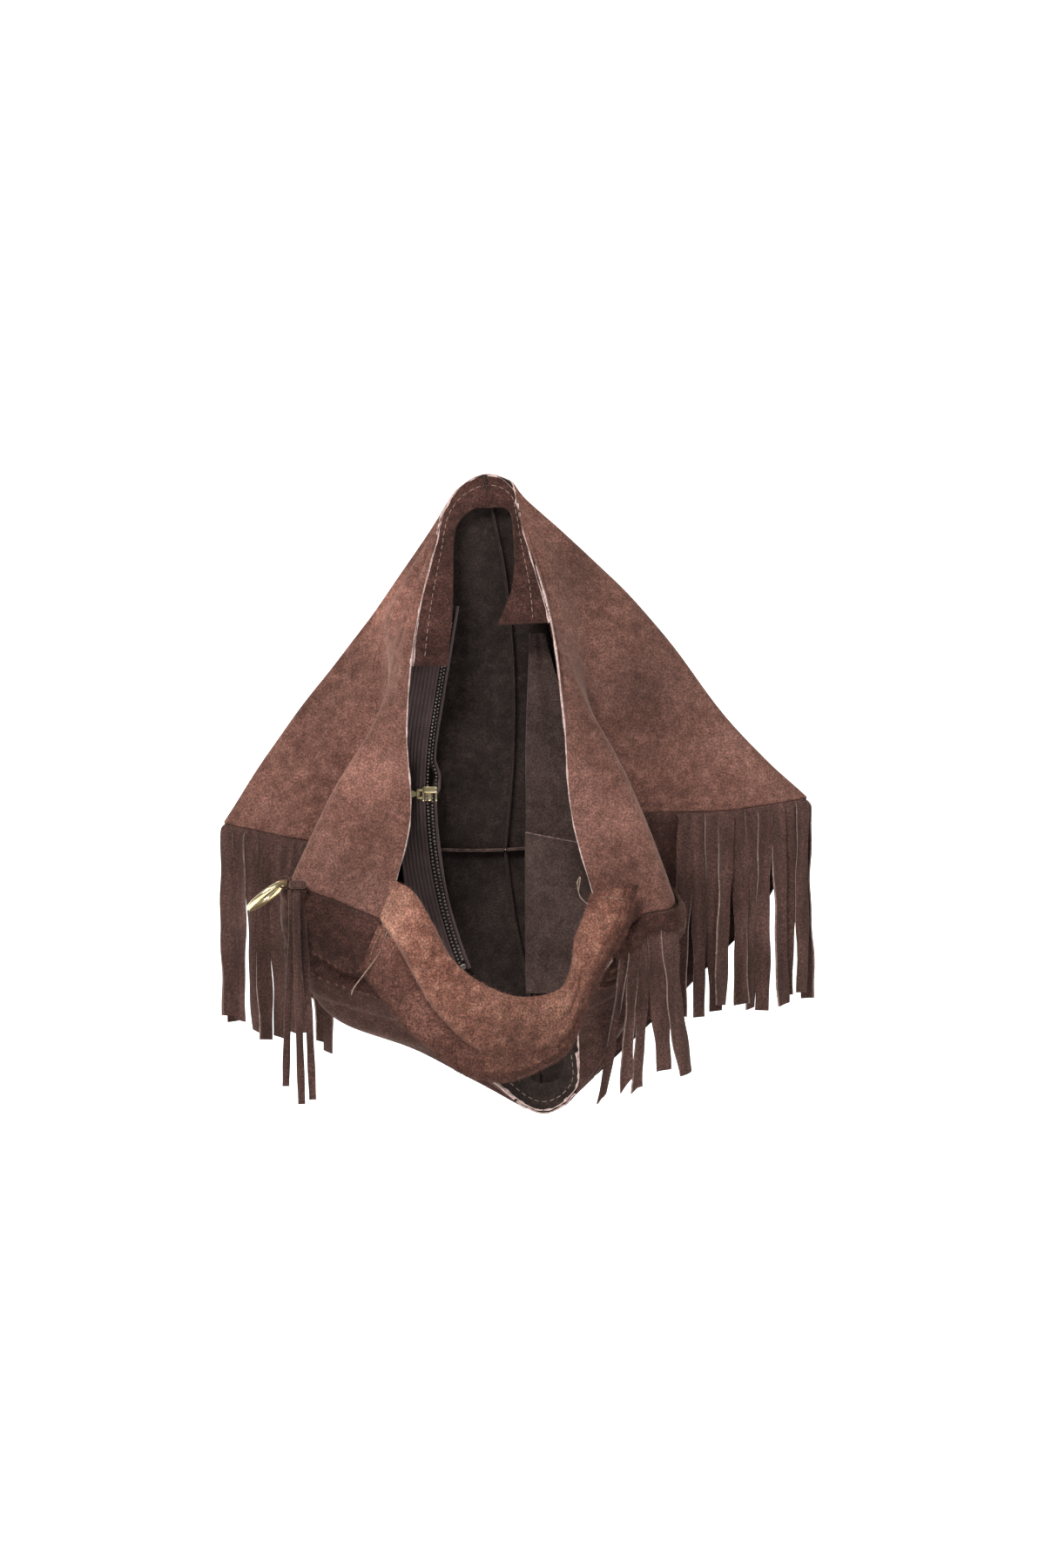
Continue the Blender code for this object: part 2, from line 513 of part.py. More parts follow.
def make_pull():
    """A tongue on a knuckle that turns round the bail's rod; it points to the left."""
    rod = np.array([ZIP_X - BAIL_REACH, ZIP_Y - 1.8, ZIP_Z])
    turn = np.linspace(0, 2 * math.pi, 12, endpoint=False)
    levels = (-1.15, 1.15)
    outer = np.array([[rod + (1.35 * math.cos(a), 1.35 * math.sin(a), z) for a in turn] for z in levels])
    points, faces = tube_rings(outer)
    pull = add_object("zip_pull", points, faces, "gold", rod)
    tongue = []
    for side in (-PULL_THICK / 2, PULL_THICK / 2):
        tongue += [rod + (-0.9, side, -1.0), rod + (-3.0, side, -PULL_HALF)]
        tongue += [rod + (-PULL_LENGTH + PULL_HALF * (1 - math.sin(a)), side, -PULL_HALF * math.cos(a))
                   for a in np.linspace(0, math.pi, 7)]
        tongue += [rod + (-3.0, side, PULL_HALF), rod + (-0.9, side, 1.0)]
    rings = np.array(tongue).reshape(2, -1, 3)
    points, faces = tube_rings(rings)
    blade = add_object("blade", points, faces, "gold")
    join_solids(pull, [blade])
    hole = np.array([[rod + (0.8 * math.cos(a), 0.8 * math.sin(a), z) for a in turn] for z in (-3, 3)])
    points, faces = tube_rings(hole)
    bore = add_object("bore", points, faces, "gold")
    join_solids(pull, [bore], "DIFFERENCE")


# ---- the pocket inside --------------------------------------------------------------------------------
def make_pocket():
    """A back that hangs from under the facing, and a patch whose mouth stands open."""
    down = np.linspace(0, 1, 11)
    left, right = spline(POCKET_LEFT, down), spline(POCKET_RIGHT, down)
    across = np.linspace(0, 1, 5)
    back = left[:, None] + (right - left)[:, None] * across[None, :, None]
    sheet("pocket_back", back, FACING, "suede_rough")
    down = np.linspace(POCKET_MOUTH, 1, 8)
    left, right = spline(POCKET_LEFT, down), spline(POCKET_RIGHT, down)
    across = np.linspace(0, 1, 9)
    patch = left[:, None] + (right - left)[:, None] * across[None, :, None]
    open_by = np.cos(np.linspace(0, math.pi / 2, 8))[:, None] * np.sin(math.pi * across)[None, :] ** 0.5
    patch[..., 1] -= FACING + SEAM_GAP + POCKET_ROOM * open_by
    sheet("pocket_patch", patch, FACING, "suede_rough")


# ---- the ring and its lace ----------------------------------------------------------------------------
def ring_axes():
    """Along the ring from its pivot to its middle, and along the hinge."""
    along = np.array([-math.cos(RING_DROOP), 0.0, -math.sin(RING_DROOP)])
    level = np.array([0.0, 1.0, 0.0])
    hinge = level * math.cos(RING_TURN) + np.cross(along, level) * math.sin(RING_TURN)
    return along, hinge


def make_ring():
    """A plain wire ring that hangs in the lace's loop."""
    along, hinge = ring_axes()
    upright = np.cross(along, hinge)
    centre = RING_PIVOT + along * RING_RADIUS
    major = np.linspace(0, 2 * math.pi, 36, endpoint=False)
    minor = np.linspace(0, 2 * math.pi, 10, endpoint=False)
    points = [centre + (math.cos(a) * along + math.sin(a) * hinge) * (RING_RADIUS + RING_WIRE * math.cos(b))
              + upright * RING_WIRE * math.sin(b) for a in major for b in minor]
    faces = [(i * 10 + j, i * 10 + (j + 1) % 10, (i + 1) % 36 * 10 + (j + 1) % 10, (i + 1) % 36 * 10 + j)
             for i in range(36) for j in range(10)]
    add_object("ring", points, faces, "gold", RING_PIVOT)


def make_lace():
    """A loop of suede lace round the ring's wire, drawn up to the seam, and its three hanging tails."""
    turn = np.linspace(0, 2 * math.pi, 16, endpoint=False)
    inner, outer, half = 2.4, 3.5, 2.0
    profile = [(inner, -half), (outer, -half), (outer, half), (inner, half)]
    points = [RING_PIVOT + (r * math.cos(a), y, r * math.sin(a)) for a in turn for r, y in profile]
    faces = [(i * 4 + j, i * 4 + (j + 1) % 4, (i + 1) % 16 * 4 + (j + 1) % 4, (i + 1) % 16 * 4 + j)
             for i in range(16) for j in range(4)]
    loop = add_object("ring_lace", points, faces, "suede")
    low, high = RING_PIVOT + (2.7, -9.8, -3.4), RING_PIVOT + (10.9, 0.0, 1.2)
    points, faces = box_points(low, high)
    join_solids(loop, [add_object("knot", points, faces, "suede")])
    tails = {
        "lace_tail_left": [(-98.9, -78, -219.8), (-98.8, -79, -245), (-101, -79, -285), (-102, -79, -322)],
        "lace_tail_middle": [(-96.3, -82.6, -219.8), (-96, -83, -245), (-95, -83, -285), (-93.5, -83, -331)],
        "lace_tail_right": [(-93.3, -78, -219.8), (-92.6, -79, -245), (-90, -79, -285), (-88, -79, -329)],
    }
    for name, route in tails.items():
        make_cord(name, route)


def make_cord(name, route):
    """A free lace as a plain tube along a smooth line through its route."""
    points = spline(route, np.linspace(0, 1, 16)) * MM
    curve = bpy.data.curves.new(name, "CURVE")
    curve.dimensions = "3D"
    curve.bevel_depth = LACE_WIDTH / 2 * MM
    curve.bevel_resolution = 2
    curve.use_fill_caps = True
    line = curve.splines.new("POLY")
    line.points.add(len(points) - 1)
    for place, point in zip(line.points, points):
        place.co = (*point, 1.0)
    curve.materials.append(finish("suede"))
    bpy.context.scene.collection.objects.link(bpy.data.objects.new(name, curve))


def main():
    clear_scene()
    make_panels()
    make_facing("rear_facing", REAR_FACING, 21)
    make_facing("front_facing", FRONT_FACING, 13)
    make_handle()
    make_fringes()
    make_zip()
    make_pocket()
    make_ring()
    make_lace()


main()
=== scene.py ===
# %% [markdown]
# # A fringed suede bag, hung by the notch of its rear rim
# The bag is cut from soft suede. Four quarters are sewn into a rhombus with an open middle, its two side
# corners are folded forward, and the tips that this makes carry the ends of one wide handle. The solid model
# of the bag is loaded first and is never changed. Everything below is built over it, in metres, in its frame:
# +Z up, +X right, -Y towards whoever faces the bag, and the origin where the bag hangs.
# %% Load the frame
import math

import bpy
import numpy as np
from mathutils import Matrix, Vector


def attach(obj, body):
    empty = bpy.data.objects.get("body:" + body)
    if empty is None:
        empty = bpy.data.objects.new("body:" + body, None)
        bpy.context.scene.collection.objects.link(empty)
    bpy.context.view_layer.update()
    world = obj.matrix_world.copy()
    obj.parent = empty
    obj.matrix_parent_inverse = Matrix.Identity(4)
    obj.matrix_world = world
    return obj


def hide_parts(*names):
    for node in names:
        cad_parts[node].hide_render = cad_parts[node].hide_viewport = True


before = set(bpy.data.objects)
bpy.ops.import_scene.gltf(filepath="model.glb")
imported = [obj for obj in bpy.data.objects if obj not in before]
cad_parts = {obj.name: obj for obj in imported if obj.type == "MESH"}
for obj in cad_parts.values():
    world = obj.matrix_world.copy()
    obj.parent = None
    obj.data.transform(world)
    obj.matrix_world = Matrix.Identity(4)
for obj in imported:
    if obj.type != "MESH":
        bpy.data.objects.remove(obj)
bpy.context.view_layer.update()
MM = 0.001
print("solid model:", sorted(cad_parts))
# %% [markdown]
# ## Camera, light and stage
# The bag hangs in front of a white sweep, seen square on from 2.2 m, so a long lens keeps the near tips and
# the far corners almost the same size. The main light is a soft box in front, above and to the left, which
# leaves the inside of the bag dark and shows the nap on every fold that turns upwards.
# %% Camera
scene = bpy.context.scene
camera_data = bpy.data.cameras.new("camera")
camera_data.sensor_fit = "VERTICAL"
camera_data.sensor_height = 36.0
camera_data.lens = 36.0 * 2.2 / 0.8465
camera = bpy.data.objects.new("camera", camera_data)
camera.location = (0.02115, -2.2, -0.1647)
camera.rotation_euler = (math.radians(90), 0, 0)
scene.collection.objects.link(camera)
scene.camera = camera
scene.view_settings.view_transform = "Standard"
print("lens:", round(camera_data.lens, 1), "mm")


# %% Lights
def soft_box(name, place, target, size, power, colour=(1, 1, 1)):
    """A square area light at place, turned to face target."""
    data = bpy.data.lights.new(name, "AREA")
    data.shape, data.size, data.energy, data.color = "SQUARE", size, power, colour
    light = bpy.data.objects.new(name, data)
    light.location = place
    light.rotation_euler = (Vector(target) - Vector(place)).to_track_quat("-Z", "Y").to_euler()
    scene.collection.objects.link(light)
    return light


soft_box("key_light", (-0.75, -1.35, 1.45), (0.02, -0.04, -0.15), 0.8, 64, (1.0, 0.98, 0.97))
soft_box("fill_light", (1.2, -1.6, 0.9), (0.0, -0.05, -0.2), 1.2, 11, (0.93, 0.96, 1.0))
soft_box("back_light", (0.4, 1.6, 0.9), (0.02, -0.04, -0.2), 1.5, 16)
world = bpy.data.worlds.new("studio")
world.use_nodes = True
world.node_tree.nodes["Background"].inputs["Color"].default_value = (0.93, 0.95, 1.0, 1)
world.node_tree.nodes["Background"].inputs["Strength"].default_value = 0.17
scene.world = world


# %% Helper: a mesh from arrays
def new_mesh(name, points, patches):
    """patches is a list of (faces, material number): each faces array has one row of point numbers a face."""
    mesh = bpy.data.meshes.new(name)
    patches = [(np.asarray(faces), slot) for faces, slot in patches if len(faces)]
    corners = np.concatenate([faces.ravel() for faces, _ in patches]).astype(np.int32)
    sizes = np.concatenate([np.full(len(faces), faces.shape[1]) for faces, _ in patches])
    starts = np.concatenate([[0], np.cumsum(sizes)[:-1]]).astype(np.int32)
    slots = np.concatenate([np.full(len(faces), slot) for faces, slot in patches]).astype(np.int32)
    mesh.vertices.add(len(points))
    mesh.vertices.foreach_set("co", np.asarray(points, np.float32).ravel())
    mesh.loops.add(len(corners))
    mesh.loops.foreach_set("vertex_index", corners)
    mesh.polygons.add(len(starts))
    mesh.polygons.foreach_set("loop_start", starts)
    mesh.polygons.foreach_set("material_index", slots)
    mesh.update(calc_edges=True)
    mesh.validate()
    return mesh


# Soft patches (x mm, z mm, radius mm, gain) that make the colour of every piece lighter or darker at their
# places.
SOFT_PATCHES = [(-49, -68, 20, 1.1), (-106, -172, 30, 0.15), (-64, -160, 26, 0.45), (-68, -216, 15, -0.35),
           (85, -115, 24, -0.50), (50, -54, 15, -0.45), (134, -160, 30, 0.20), (78, -182, 16, 0.20),
           (-42, -238, 15, 0.45), (-22, -262, 12, 0.35), (21, -300, 20, -0.45), (-35, -290, 10, 0.6),
           (63, -240, 14, 0.35), (50, -270, 10, 0.1), (-95, -240, 22, -0.3)]


def patch_gain_of(points):
    """How much lighter or darker the colour is made: the product of 1 + gain exp(-d^2/r^2) over soft patches
    (x, z, r, gain).
    """
    points = np.asarray(points)
    light = np.ones(len(points))
    for x, z, radius, gain in SOFT_PATCHES:
        apart = (points[:, 0] - x * MM) ** 2 + (points[:, 2] - z * MM) ** 2
        light *= 1 + gain * np.exp(-apart / (radius * MM) ** 2)
    return light


def place_piece(name, points, patches, materials, body="bag", stands_for=(), crease=50):
    """Make the object, give it its finishes, and let it ride on its body."""
    mesh = new_mesh(name, points, patches)
    for material in materials:
        mesh.materials.append(material)
    patch_gain = mesh.attributes.new("patch_gain", "FLOAT", "POINT")
    patch_gain.data.foreach_set("value", patch_gain_of(points).astype(np.float32))
    mesh.shade_smooth()
    mesh.set_sharp_from_angle(angle=math.radians(crease))
    obj = bpy.data.objects.new(name, mesh)
    scene.collection.objects.link(obj)
    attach(obj, body)
    if stands_for:
        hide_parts(*stands_for)
    print(f"{name}: {len(points)} points, {len(mesh.polygons)} faces")
    return obj


# %% The white sweep
turn = np.linspace(0, math.pi / 2, 16)
profile = np.concatenate([[[-3.5, -1.0]], np.stack([3.1 + 0.5 * np.sin(turn), -0.5 - 0.5 * np.cos(turn)], 1),
                          [[3.6, 4.6]]])
sweep_points = np.array([(x, y, z) for x in (-5.0, 5.0) for y, z in profile])
rows = np.arange(len(profile) - 1)
sweep_mesh = new_mesh("sweep", sweep_points,
                      [(np.stack([rows, rows + len(profile), rows + len(profile) + 1, rows + 1], 1), 0)])
sweep = bpy.data.objects.new("sweep", sweep_mesh)
scene.collection.objects.link(sweep)
paper = bpy.data.materials.new("white_paper")
paper.use_nodes = True
paper_shader = paper.node_tree.nodes["Principled BSDF"]
paper_shader.inputs["Base Color"].default_value = (0.85, 0.85, 0.85, 1)
paper_shader.inputs["Roughness"].default_value = 0.9
paper_shader.inputs["Emission Color"].default_value = (1, 1, 1, 1)
paper_shader.inputs["Emission Strength"].default_value = 0.95
sweep_mesh.materials.append(paper)
print("sweep:", len(sweep_points), "points")


# %% [markdown]
# ## Curves and skins
# The bag's shape is held by rays: lines that fan out from the notch of a rim to the seams. A Catmull-Rom
# spline runs smoothly through the points of one ray, and a second one runs across the rays, so a handful of
# points gives the whole folded surface.
# %% Helper: splines and skins
def spline(points, at):
    """Catmull-Rom: between points b and c, with a before and d after, the curve is
    (2b + (c-a)t + (2a-5b+4c-d)t^2 + (3b-a-3c+d)t^3) / 2, and `at` runs from 0 to 1 over the whole line."""
    points = np.asarray(points, dtype=float)
    last = len(points) - 1
    place = np.clip(np.asarray(at, dtype=float), 0.0, 1.0) * last
    start = np.minimum(place.astype(int), last - 1)
    t = (place - start).reshape((-1,) + (1,) * (points.ndim - 1))
    before, here = points[np.maximum(start - 1, 0)], points[start]
    there, after = points[start + 1], points[np.minimum(start + 2, last)]
    return 0.5 * (2 * here + (there - before) * t + (2 * before - 5 * here + 4 * there - after) * t**2
                  + (3 * here - before - 3 * there + after) * t**3)


def skin(rays, across, along):
    """Read each ray at `along`, then run a spline over the rays at `across`: an array [across, along, xyz]."""
    rays = np.asarray(rays, dtype=float)
    return spline(spline(rays.transpose(1, 0, 2), along).transpose(1, 0, 2), across)


def unit(vectors):
    """Vectors of length 1 along the last axis."""
    return vectors / np.maximum(np.linalg.norm(vectors, axis=-1, keepdims=True), 1e-12)


def normals_of(grid):
    """At each point, the cross product of the two directions of the grid."""
    return unit(np.cross(np.gradient(grid, axis=0), np.gradient(grid, axis=1)))


def ripple(x, y, seed=0.0):
    """A smooth random-looking height from -1 to 1: five waves of unrelated directions and lengths, summed."""
    waves = [(1.00, 0.31, 0.4), (-0.62, 1.17, 1.9), (1.43, -0.83, 3.1), (0.27, 1.91, 4.4), (-1.88, -0.56, 5.2)]
    return sum(np.sin(a * x + b * y + c * (1 + seed)) for a, b, c in waves) / len(waves) * 1.6


# %% Helper: a closed sheet
def quads_of(index):
    """Faces of a grid of point numbers, turned so that they face along axis 0 x axis 1."""
    return np.stack([index[:-1, :-1], index[1:, :-1], index[1:, 1:], index[:-1, 1:]], -1).reshape(-1, 4)


def closed_sheet(grid, thickness, slots=(0, 1, 2)):
    """Two copies of a grid, half a thickness out and in along its normals, joined by walls on all four sides.

    slots are the materials of the outer face, the inner face and the cut edges; the last may be four numbers,
    for the edges at the start and the end of axis 0, then of axis 1.
    """
    rows, columns = grid.shape[:2]
    half = normals_of(grid) * np.broadcast_to(np.asarray(thickness) / 2, (rows, columns))[..., None]
    points = np.concatenate([(grid + half).reshape(-1, 3), (grid - half).reshape(-1, 3)])
    top = np.arange(rows * columns).reshape(rows, columns)
    count = rows * columns
    edges = [(top[0, 1:], top[0, :-1]), (top[-1, :-1], top[-1, 1:]),
             (top[:-1, 0], top[1:, 0]), (top[1:, -1], top[:-1, -1])]
    edge_slots = slots[2] if isinstance(slots[2], tuple) else (slots[2],) * 4
    walls = [(np.stack([b, a, a + count, b + count], -1), slot) for (a, b), slot in zip(edges, edge_slots)]
    quads = quads_of(top)
    return points, [(quads, slots[0]), (quads[:, ::-1] + count, slots[1])] + walls


def wrapped(rows, columns):
    """Point numbers of a grid that closes on itself both ways."""
    index = np.arange(rows * columns).reshape(rows, columns)
    index = np.concatenate([index, index[:1]])
    return np.concatenate([index, index[:, :1]], axis=1)


def closed_tube(rings, slot=0):
    """Rings of points joined into a tube, its two ends closed by fans about their middles."""
    count, around = rings.shape[:2]
    index = np.arange(count * around).reshape(count, around)
    ring = np.concatenate([index, index[:, :1]], axis=1)
    sides = np.stack([ring[:-1, :-1], ring[:-1, 1:], ring[1:, 1:], ring[1:, :-1]], -1).reshape(-1, 4)
    points = np.concatenate([rings.reshape(-1, 3), rings[:1].mean(1), rings[-1:].mean(1)])
    first, last = count * around, count * around + 1
    start = np.stack([ring[0, 1:], ring[0, :-1], np.full(around, first)], -1)
    end = np.stack([ring[-1, :-1], ring[-1, 1:], np.full(around, last)], -1)
    return points, [(sides, slot), (start, slot), (end, slot)]


def gather(parts):
    """Several (points, patches) pairs as one."""
    points, patches, count = [], [], 0
    for some_points, some_patches in parts:
        points.append(some_points)
        patches += [(faces + count, slot) for faces, slot in some_patches]
        count += len(some_points)
    return np.concatenate(points), patches


def sweep_profile(path, side, out, slot=0):
    """Carry a flat oval section along a path; side and out are its half width and half thickness vectors."""
    turn = np.linspace(0, 2 * math.pi, 12, endpoint=False)
    wide = np.sign(np.cos(turn)) * np.abs(np.cos(turn)) ** 0.55
    deep = np.sign(np.sin(turn)) * np.abs(np.sin(turn)) ** 0.55
    rings = path[:, None] + side[:, None] * wide[None, :, None] + out[:, None] * deep[None, :, None]
    return closed_tube(rings, slot)


# %% [markdown]
# ## Suede
# Suede is the split side of a hide, brushed until short fibres stand up. It has no gloss: light catches the
# fibre tips, so folds look pale along their edges, and a hand that strokes it leaves lighter and darker
# patches. The colour therefore comes from two noises at the scale of a hand stroke and of a finger mark, a fine
# one at the scale of the fibres breaks it up, soft patches at given places lighten or darken it, and the
# shader's sheen adds the pale glow at grazing angles.
# %% Helper: material nodes
def start_material(name, roughness, sheen=0.0, sheen_colour=(1, 1, 1), metallic=0.0):
    """A Principled material and its node tree."""
    material = bpy.data.materials.new(name)
    material.use_nodes = True
    shader = material.node_tree.nodes["Principled BSDF"]
    shader.inputs["Roughness"].default_value = roughness
    shader.inputs["Metallic"].default_value = metallic
    shader.inputs["Sheen Weight"].default_value = sheen
    shader.inputs["Sheen Roughness"].default_value = 0.55
    shader.inputs["Sheen Tint"].default_value = (*sheen_colour, 1)
    shader.inputs["Specular IOR Level"].default_value = 0.5 if metallic else 0.12
    return material, material.node_tree, shader


def noise_at(tree, scale, detail=3.0, stretch=(1, 1, 1)):
    """A noise on the object's own coordinates, stretched by a mapping."""
    coordinates = tree.nodes.new("ShaderNodeTexCoord")
    mapping = tree.nodes.new("ShaderNodeMapping")
    mapping.inputs["Scale"].default_value = stretch
    noise = tree.nodes.new("ShaderNodeTexNoise")
    noise.inputs["Scale"].default_value = scale
    noise.inputs["Detail"].default_value = detail
    tree.links.new(coordinates.outputs["Object"], mapping.inputs["Vector"])
    tree.links.new(mapping.outputs["Vector"], noise.inputs["Vector"])
    return noise.outputs["Fac"]


def ramp(tree, value, stops):
    """Colours against a value: stops are (place, colour)."""
    node = tree.nodes.new("ShaderNodeValToRGB")
    while len(node.color_ramp.elements) < len(stops):
        node.color_ramp.elements.new(0.5)
    for element, (place, colour) in zip(node.color_ramp.elements, stops):
        element.position, element.color = place, (*colour, 1)
    tree.links.new(value, node.inputs["Fac"])
    return node.outputs["Color"]


def mix(tree, mode, share, first, second):
    """Blend two colours; share is a number or a socket."""
    node = tree.nodes.new("ShaderNodeMix")
    node.data_type, node.blend_type = "RGBA", mode
    if hasattr(share, "is_linked"):
        tree.links.new(share, node.inputs["Factor"])
    else:
        node.inputs["Factor"].default_value = share
    tree.links.new(first, node.inputs["A"])
    tree.links.new(second, node.inputs["B"])
    return node.outputs["Result"]


def bump(tree, shader, height, distance, strength=1.0):
    """Add a bump on top of whatever normal the shader has."""
    node = tree.nodes.new("ShaderNodeBump")
    node.inputs["Distance"].default_value = distance
    node.inputs["Strength"].default_value = strength
    tree.links.new(height, node.inputs["Height"])
    if shader.inputs["Normal"].is_linked:
        tree.links.new(shader.inputs["Normal"].links[0].from_socket, node.inputs["Normal"])
    tree.links.new(node.outputs["Normal"], shader.inputs["Normal"])


# %% Helper: one kind of suede
def suede(name, dark, middle, light, nap=0.35, sheen=0.35, streak=(1, 1, 1)):
    """Brushed hide: hand strokes, finger marks and fibres in three colours, soft lighter and darker patches,
    and a sheen.
    """
    material, tree, shader = start_material(name, 0.92, sheen, (0.78, 0.55, 0.45))
    patches = ramp(tree, noise_at(tree, 30, 6), [(0.34, dark), (0.51, middle), (0.68, light)])
    strokes = ramp(tree, noise_at(tree, 190, 6, streak), [(0.34, dark), (0.52, middle), (0.70, light)])
    fibres = noise_at(tree, 1100, 3)
    specks = ramp(tree, fibres, [(0.36, (0.45, 0.42, 0.40)), (0.52, (1.0, 1.0, 1.0)),
                                 (0.66, (1.8, 1.65, 1.55))])
    colour = mix(tree, "MIX", 0.5, patches, strokes)
    colour = mix(tree, "MULTIPLY", nap * 2.2, colour, specks)
    patch_gain_node = tree.nodes.new("ShaderNodeAttribute")
    patch_gain_node.attribute_name = "patch_gain"
    colour = mix(tree, "MULTIPLY", 1.0, colour, patch_gain_node.outputs["Color"])
    tree.links.new(colour, shader.inputs["Base Color"])
    bump(tree, shader, noise_at(tree, 420, 3), 0.0006, 0.35)
    bump(tree, shader, fibres, 0.00035, 0.55)
    return material


suede_outer = suede("suede_outer", (0.062, 0.027, 0.021), (0.115, 0.053, 0.040), (0.185, 0.092, 0.074),
                    0.36, 0.3)
# The same suede painted near black: painted shade for the inside faces of the bag and for the front facing.
suede_inner_painted_shade = suede("suede_inner_painted_shade", (0.010, 0.007, 0.006), (0.020, 0.014, 0.012), (0.036, 0.025, 0.022),
                    0.3, 0.05)
suede_pocket = suede("suede_pocket", (0.030, 0.019, 0.017), (0.052, 0.034, 0.030), (0.080, 0.053, 0.047),
                     0.3, 0.1)
# The outer suede in darker colours, about 0.4 of them: painted shade for the front panels, which face down.
suede_painted_shade = suede("suede_painted_shade", (0.024, 0.011, 0.009), (0.046, 0.022, 0.018), (0.080, 0.041, 0.034),
                    0.36, 0.15)
suede_tip = suede("suede_tip", (0.016, 0.006, 0.005), (0.036, 0.015, 0.012), (0.075, 0.034, 0.027),
                  0.45, 0.15)
suede_handle = suede("suede_handle", (0.070, 0.026, 0.018), (0.145, 0.063, 0.044), (0.275, 0.142, 0.101),
                     0.42, 0.4)
suede_rough = suede("suede_rough", (0.045, 0.018, 0.013), (0.090, 0.038, 0.029), (0.165, 0.078, 0.060),
                    0.45, 0.3)
suede_fringe = suede("suede_fringe", (0.024, 0.012, 0.010), (0.050, 0.025, 0.021), (0.090, 0.047, 0.039),
                     0.34, 0.2, (1, 1, 0.18))
print("suedes:", [m.name for m in bpy.data.materials if m.name.startswith("suede")])
# %% [markdown]
# A cut edge shows the undyed middle of the hide, which is paler and pinker than the faces. Loose nap fibres
# take the colour of the suede, a little lighter where they stand in the light. Thread is a pale waxed cotton
# with a twist, made with a fine diagonal wave.
# %% Cut edge, fibres and thread
raw_edge, tree, shader = start_material("raw_edge", 0.9, 0.2)
edge_colour = ramp(tree, noise_at(tree, 500, 3), [(0.3, (0.10, 0.060, 0.050)), (0.55, (0.20, 0.130, 0.110)),
                                                  (0.8, (0.34, 0.240, 0.210))])
tree.links.new(edge_colour, shader.inputs["Base Color"])
bump(tree, shader, noise_at(tree, 1800, 2), 0.0003, 0.6)

rim_fibre, tree, shader = start_material("rim_fibre", 0.9, 0.2)
edge_colour = ramp(tree, noise_at(tree, 700, 3), [(0.3, (0.30, 0.20, 0.17)), (0.7, (0.62, 0.47, 0.43))])
tree.links.new(edge_colour, shader.inputs["Base Color"])

seam_edge, tree, shader = start_material("seam_edge", 0.9, 0.1)
edge_colour = ramp(tree, noise_at(tree, 500, 3), [(0.3, (0.035, 0.021, 0.018)), (0.7, (0.12, 0.075, 0.062))])
tree.links.new(edge_colour, shader.inputs["Base Color"])

nap_fibre, tree, shader = start_material("nap_fibre", 0.8, 0.2, (0.8, 0.6, 0.5))
fibre_colour = ramp(tree, noise_at(tree, 300, 2), [(0.3, (0.10, 0.042, 0.030)), (0.7, (0.26, 0.125, 0.092))])
tree.links.new(fibre_colour, shader.inputs["Base Color"])

dark_fibre, tree, shader = start_material("dark_fibre", 0.8, 0.2, (0.8, 0.6, 0.5))
fibre_colour = ramp(tree, noise_at(tree, 300, 2), [(0.3, (0.045, 0.018, 0.013)), (0.7, (0.135, 0.060, 0.044))])
tree.links.new(fibre_colour, shader.inputs["Base Color"])

thread, tree, shader = start_material("thread", 0.7, 0.2)
thread_colour = ramp(tree, noise_at(tree, 900, 2), [(0.3, (0.16, 0.10, 0.075)), (0.7, (0.36, 0.26, 0.20))])
tree.links.new(thread_colour, shader.inputs["Base Color"])
bump(tree, shader, noise_at(tree, 2500, 1, (1, 1, 3)), 0.0002, 0.6)
print("trims:", raw_edge.name, nap_fibre.name, dark_fibre.name, thread.name)
# %% [markdown]
# The zip's tape is a tight woven ribbon with lengthwise ribs. Its teeth are darkened metal, worn bright on
# their crowns. The slider, its pull and the ring are pale polished gold, given a faint painted glow.
# %% Zip tape, teeth and gold
zip_tape, tree, shader = start_material("zip_tape", 0.75, 0.25, (0.7, 0.6, 0.58))
tree.links.new(ramp(tree, noise_at(tree, 60, 3), [(0.3, (0.075, 0.050, 0.047)), (0.7, (0.120, 0.082, 0.077))]),
               shader.inputs["Base Color"])
ribs = tree.nodes.new("ShaderNodeTexWave")
ribs.wave_type, ribs.bands_direction = "BANDS", "X"
ribs.inputs["Scale"].default_value = 160
ribs.inputs["Distortion"].default_value = 0.6
weft = tree.nodes.new("ShaderNodeTexWave")
weft.wave_type, weft.bands_direction = "BANDS", "Z"
weft.inputs["Scale"].default_value = 420
tape_uv = tree.nodes.new("ShaderNodeTexCoord")
tree.links.new(tape_uv.outputs["UV"], ribs.inputs["Vector"])
tree.links.new(tape_uv.outputs["Object"], weft.inputs["Vector"])
bump(tree, shader, weft.outputs["Fac"], 0.0002, 0.5)
bump(tree, shader, ribs.outputs["Fac"], 0.0004, 0.8)

tooth_metal, tree, shader = start_material("tooth_metal", 0.38, metallic=1.0)
tree.links.new(ramp(tree, noise_at(tree, 700, 3), [(0.3, (0.16, 0.135, 0.125)), (0.75, (0.42, 0.37, 0.34))]),
               shader.inputs["Base Color"])
bump(tree, shader, noise_at(tree, 1600, 2), 0.0001, 0.4)

gold, tree, shader = start_material("gold", 0.2, metallic=1.0)
tree.links.new(ramp(tree, noise_at(tree, 240, 3), [(0.3, (0.66, 0.52, 0.26)), (0.7, (0.90, 0.78, 0.48))]),
               shader.inputs["Base Color"])
# The emission is a painted glow: the gold shines a little by itself, though it is no lamp.
shader.inputs["Emission Color"].default_value = (0.9, 0.74, 0.42, 1)
shader.inputs["Emission Strength"].default_value = 0.10
bump(tree, shader, noise_at(tree, 900, 4, (1, 1, 0.2)), 0.00006, 0.35)
print("zip and ring finishes:", zip_tape.name, tooth_metal.name, gold.name)


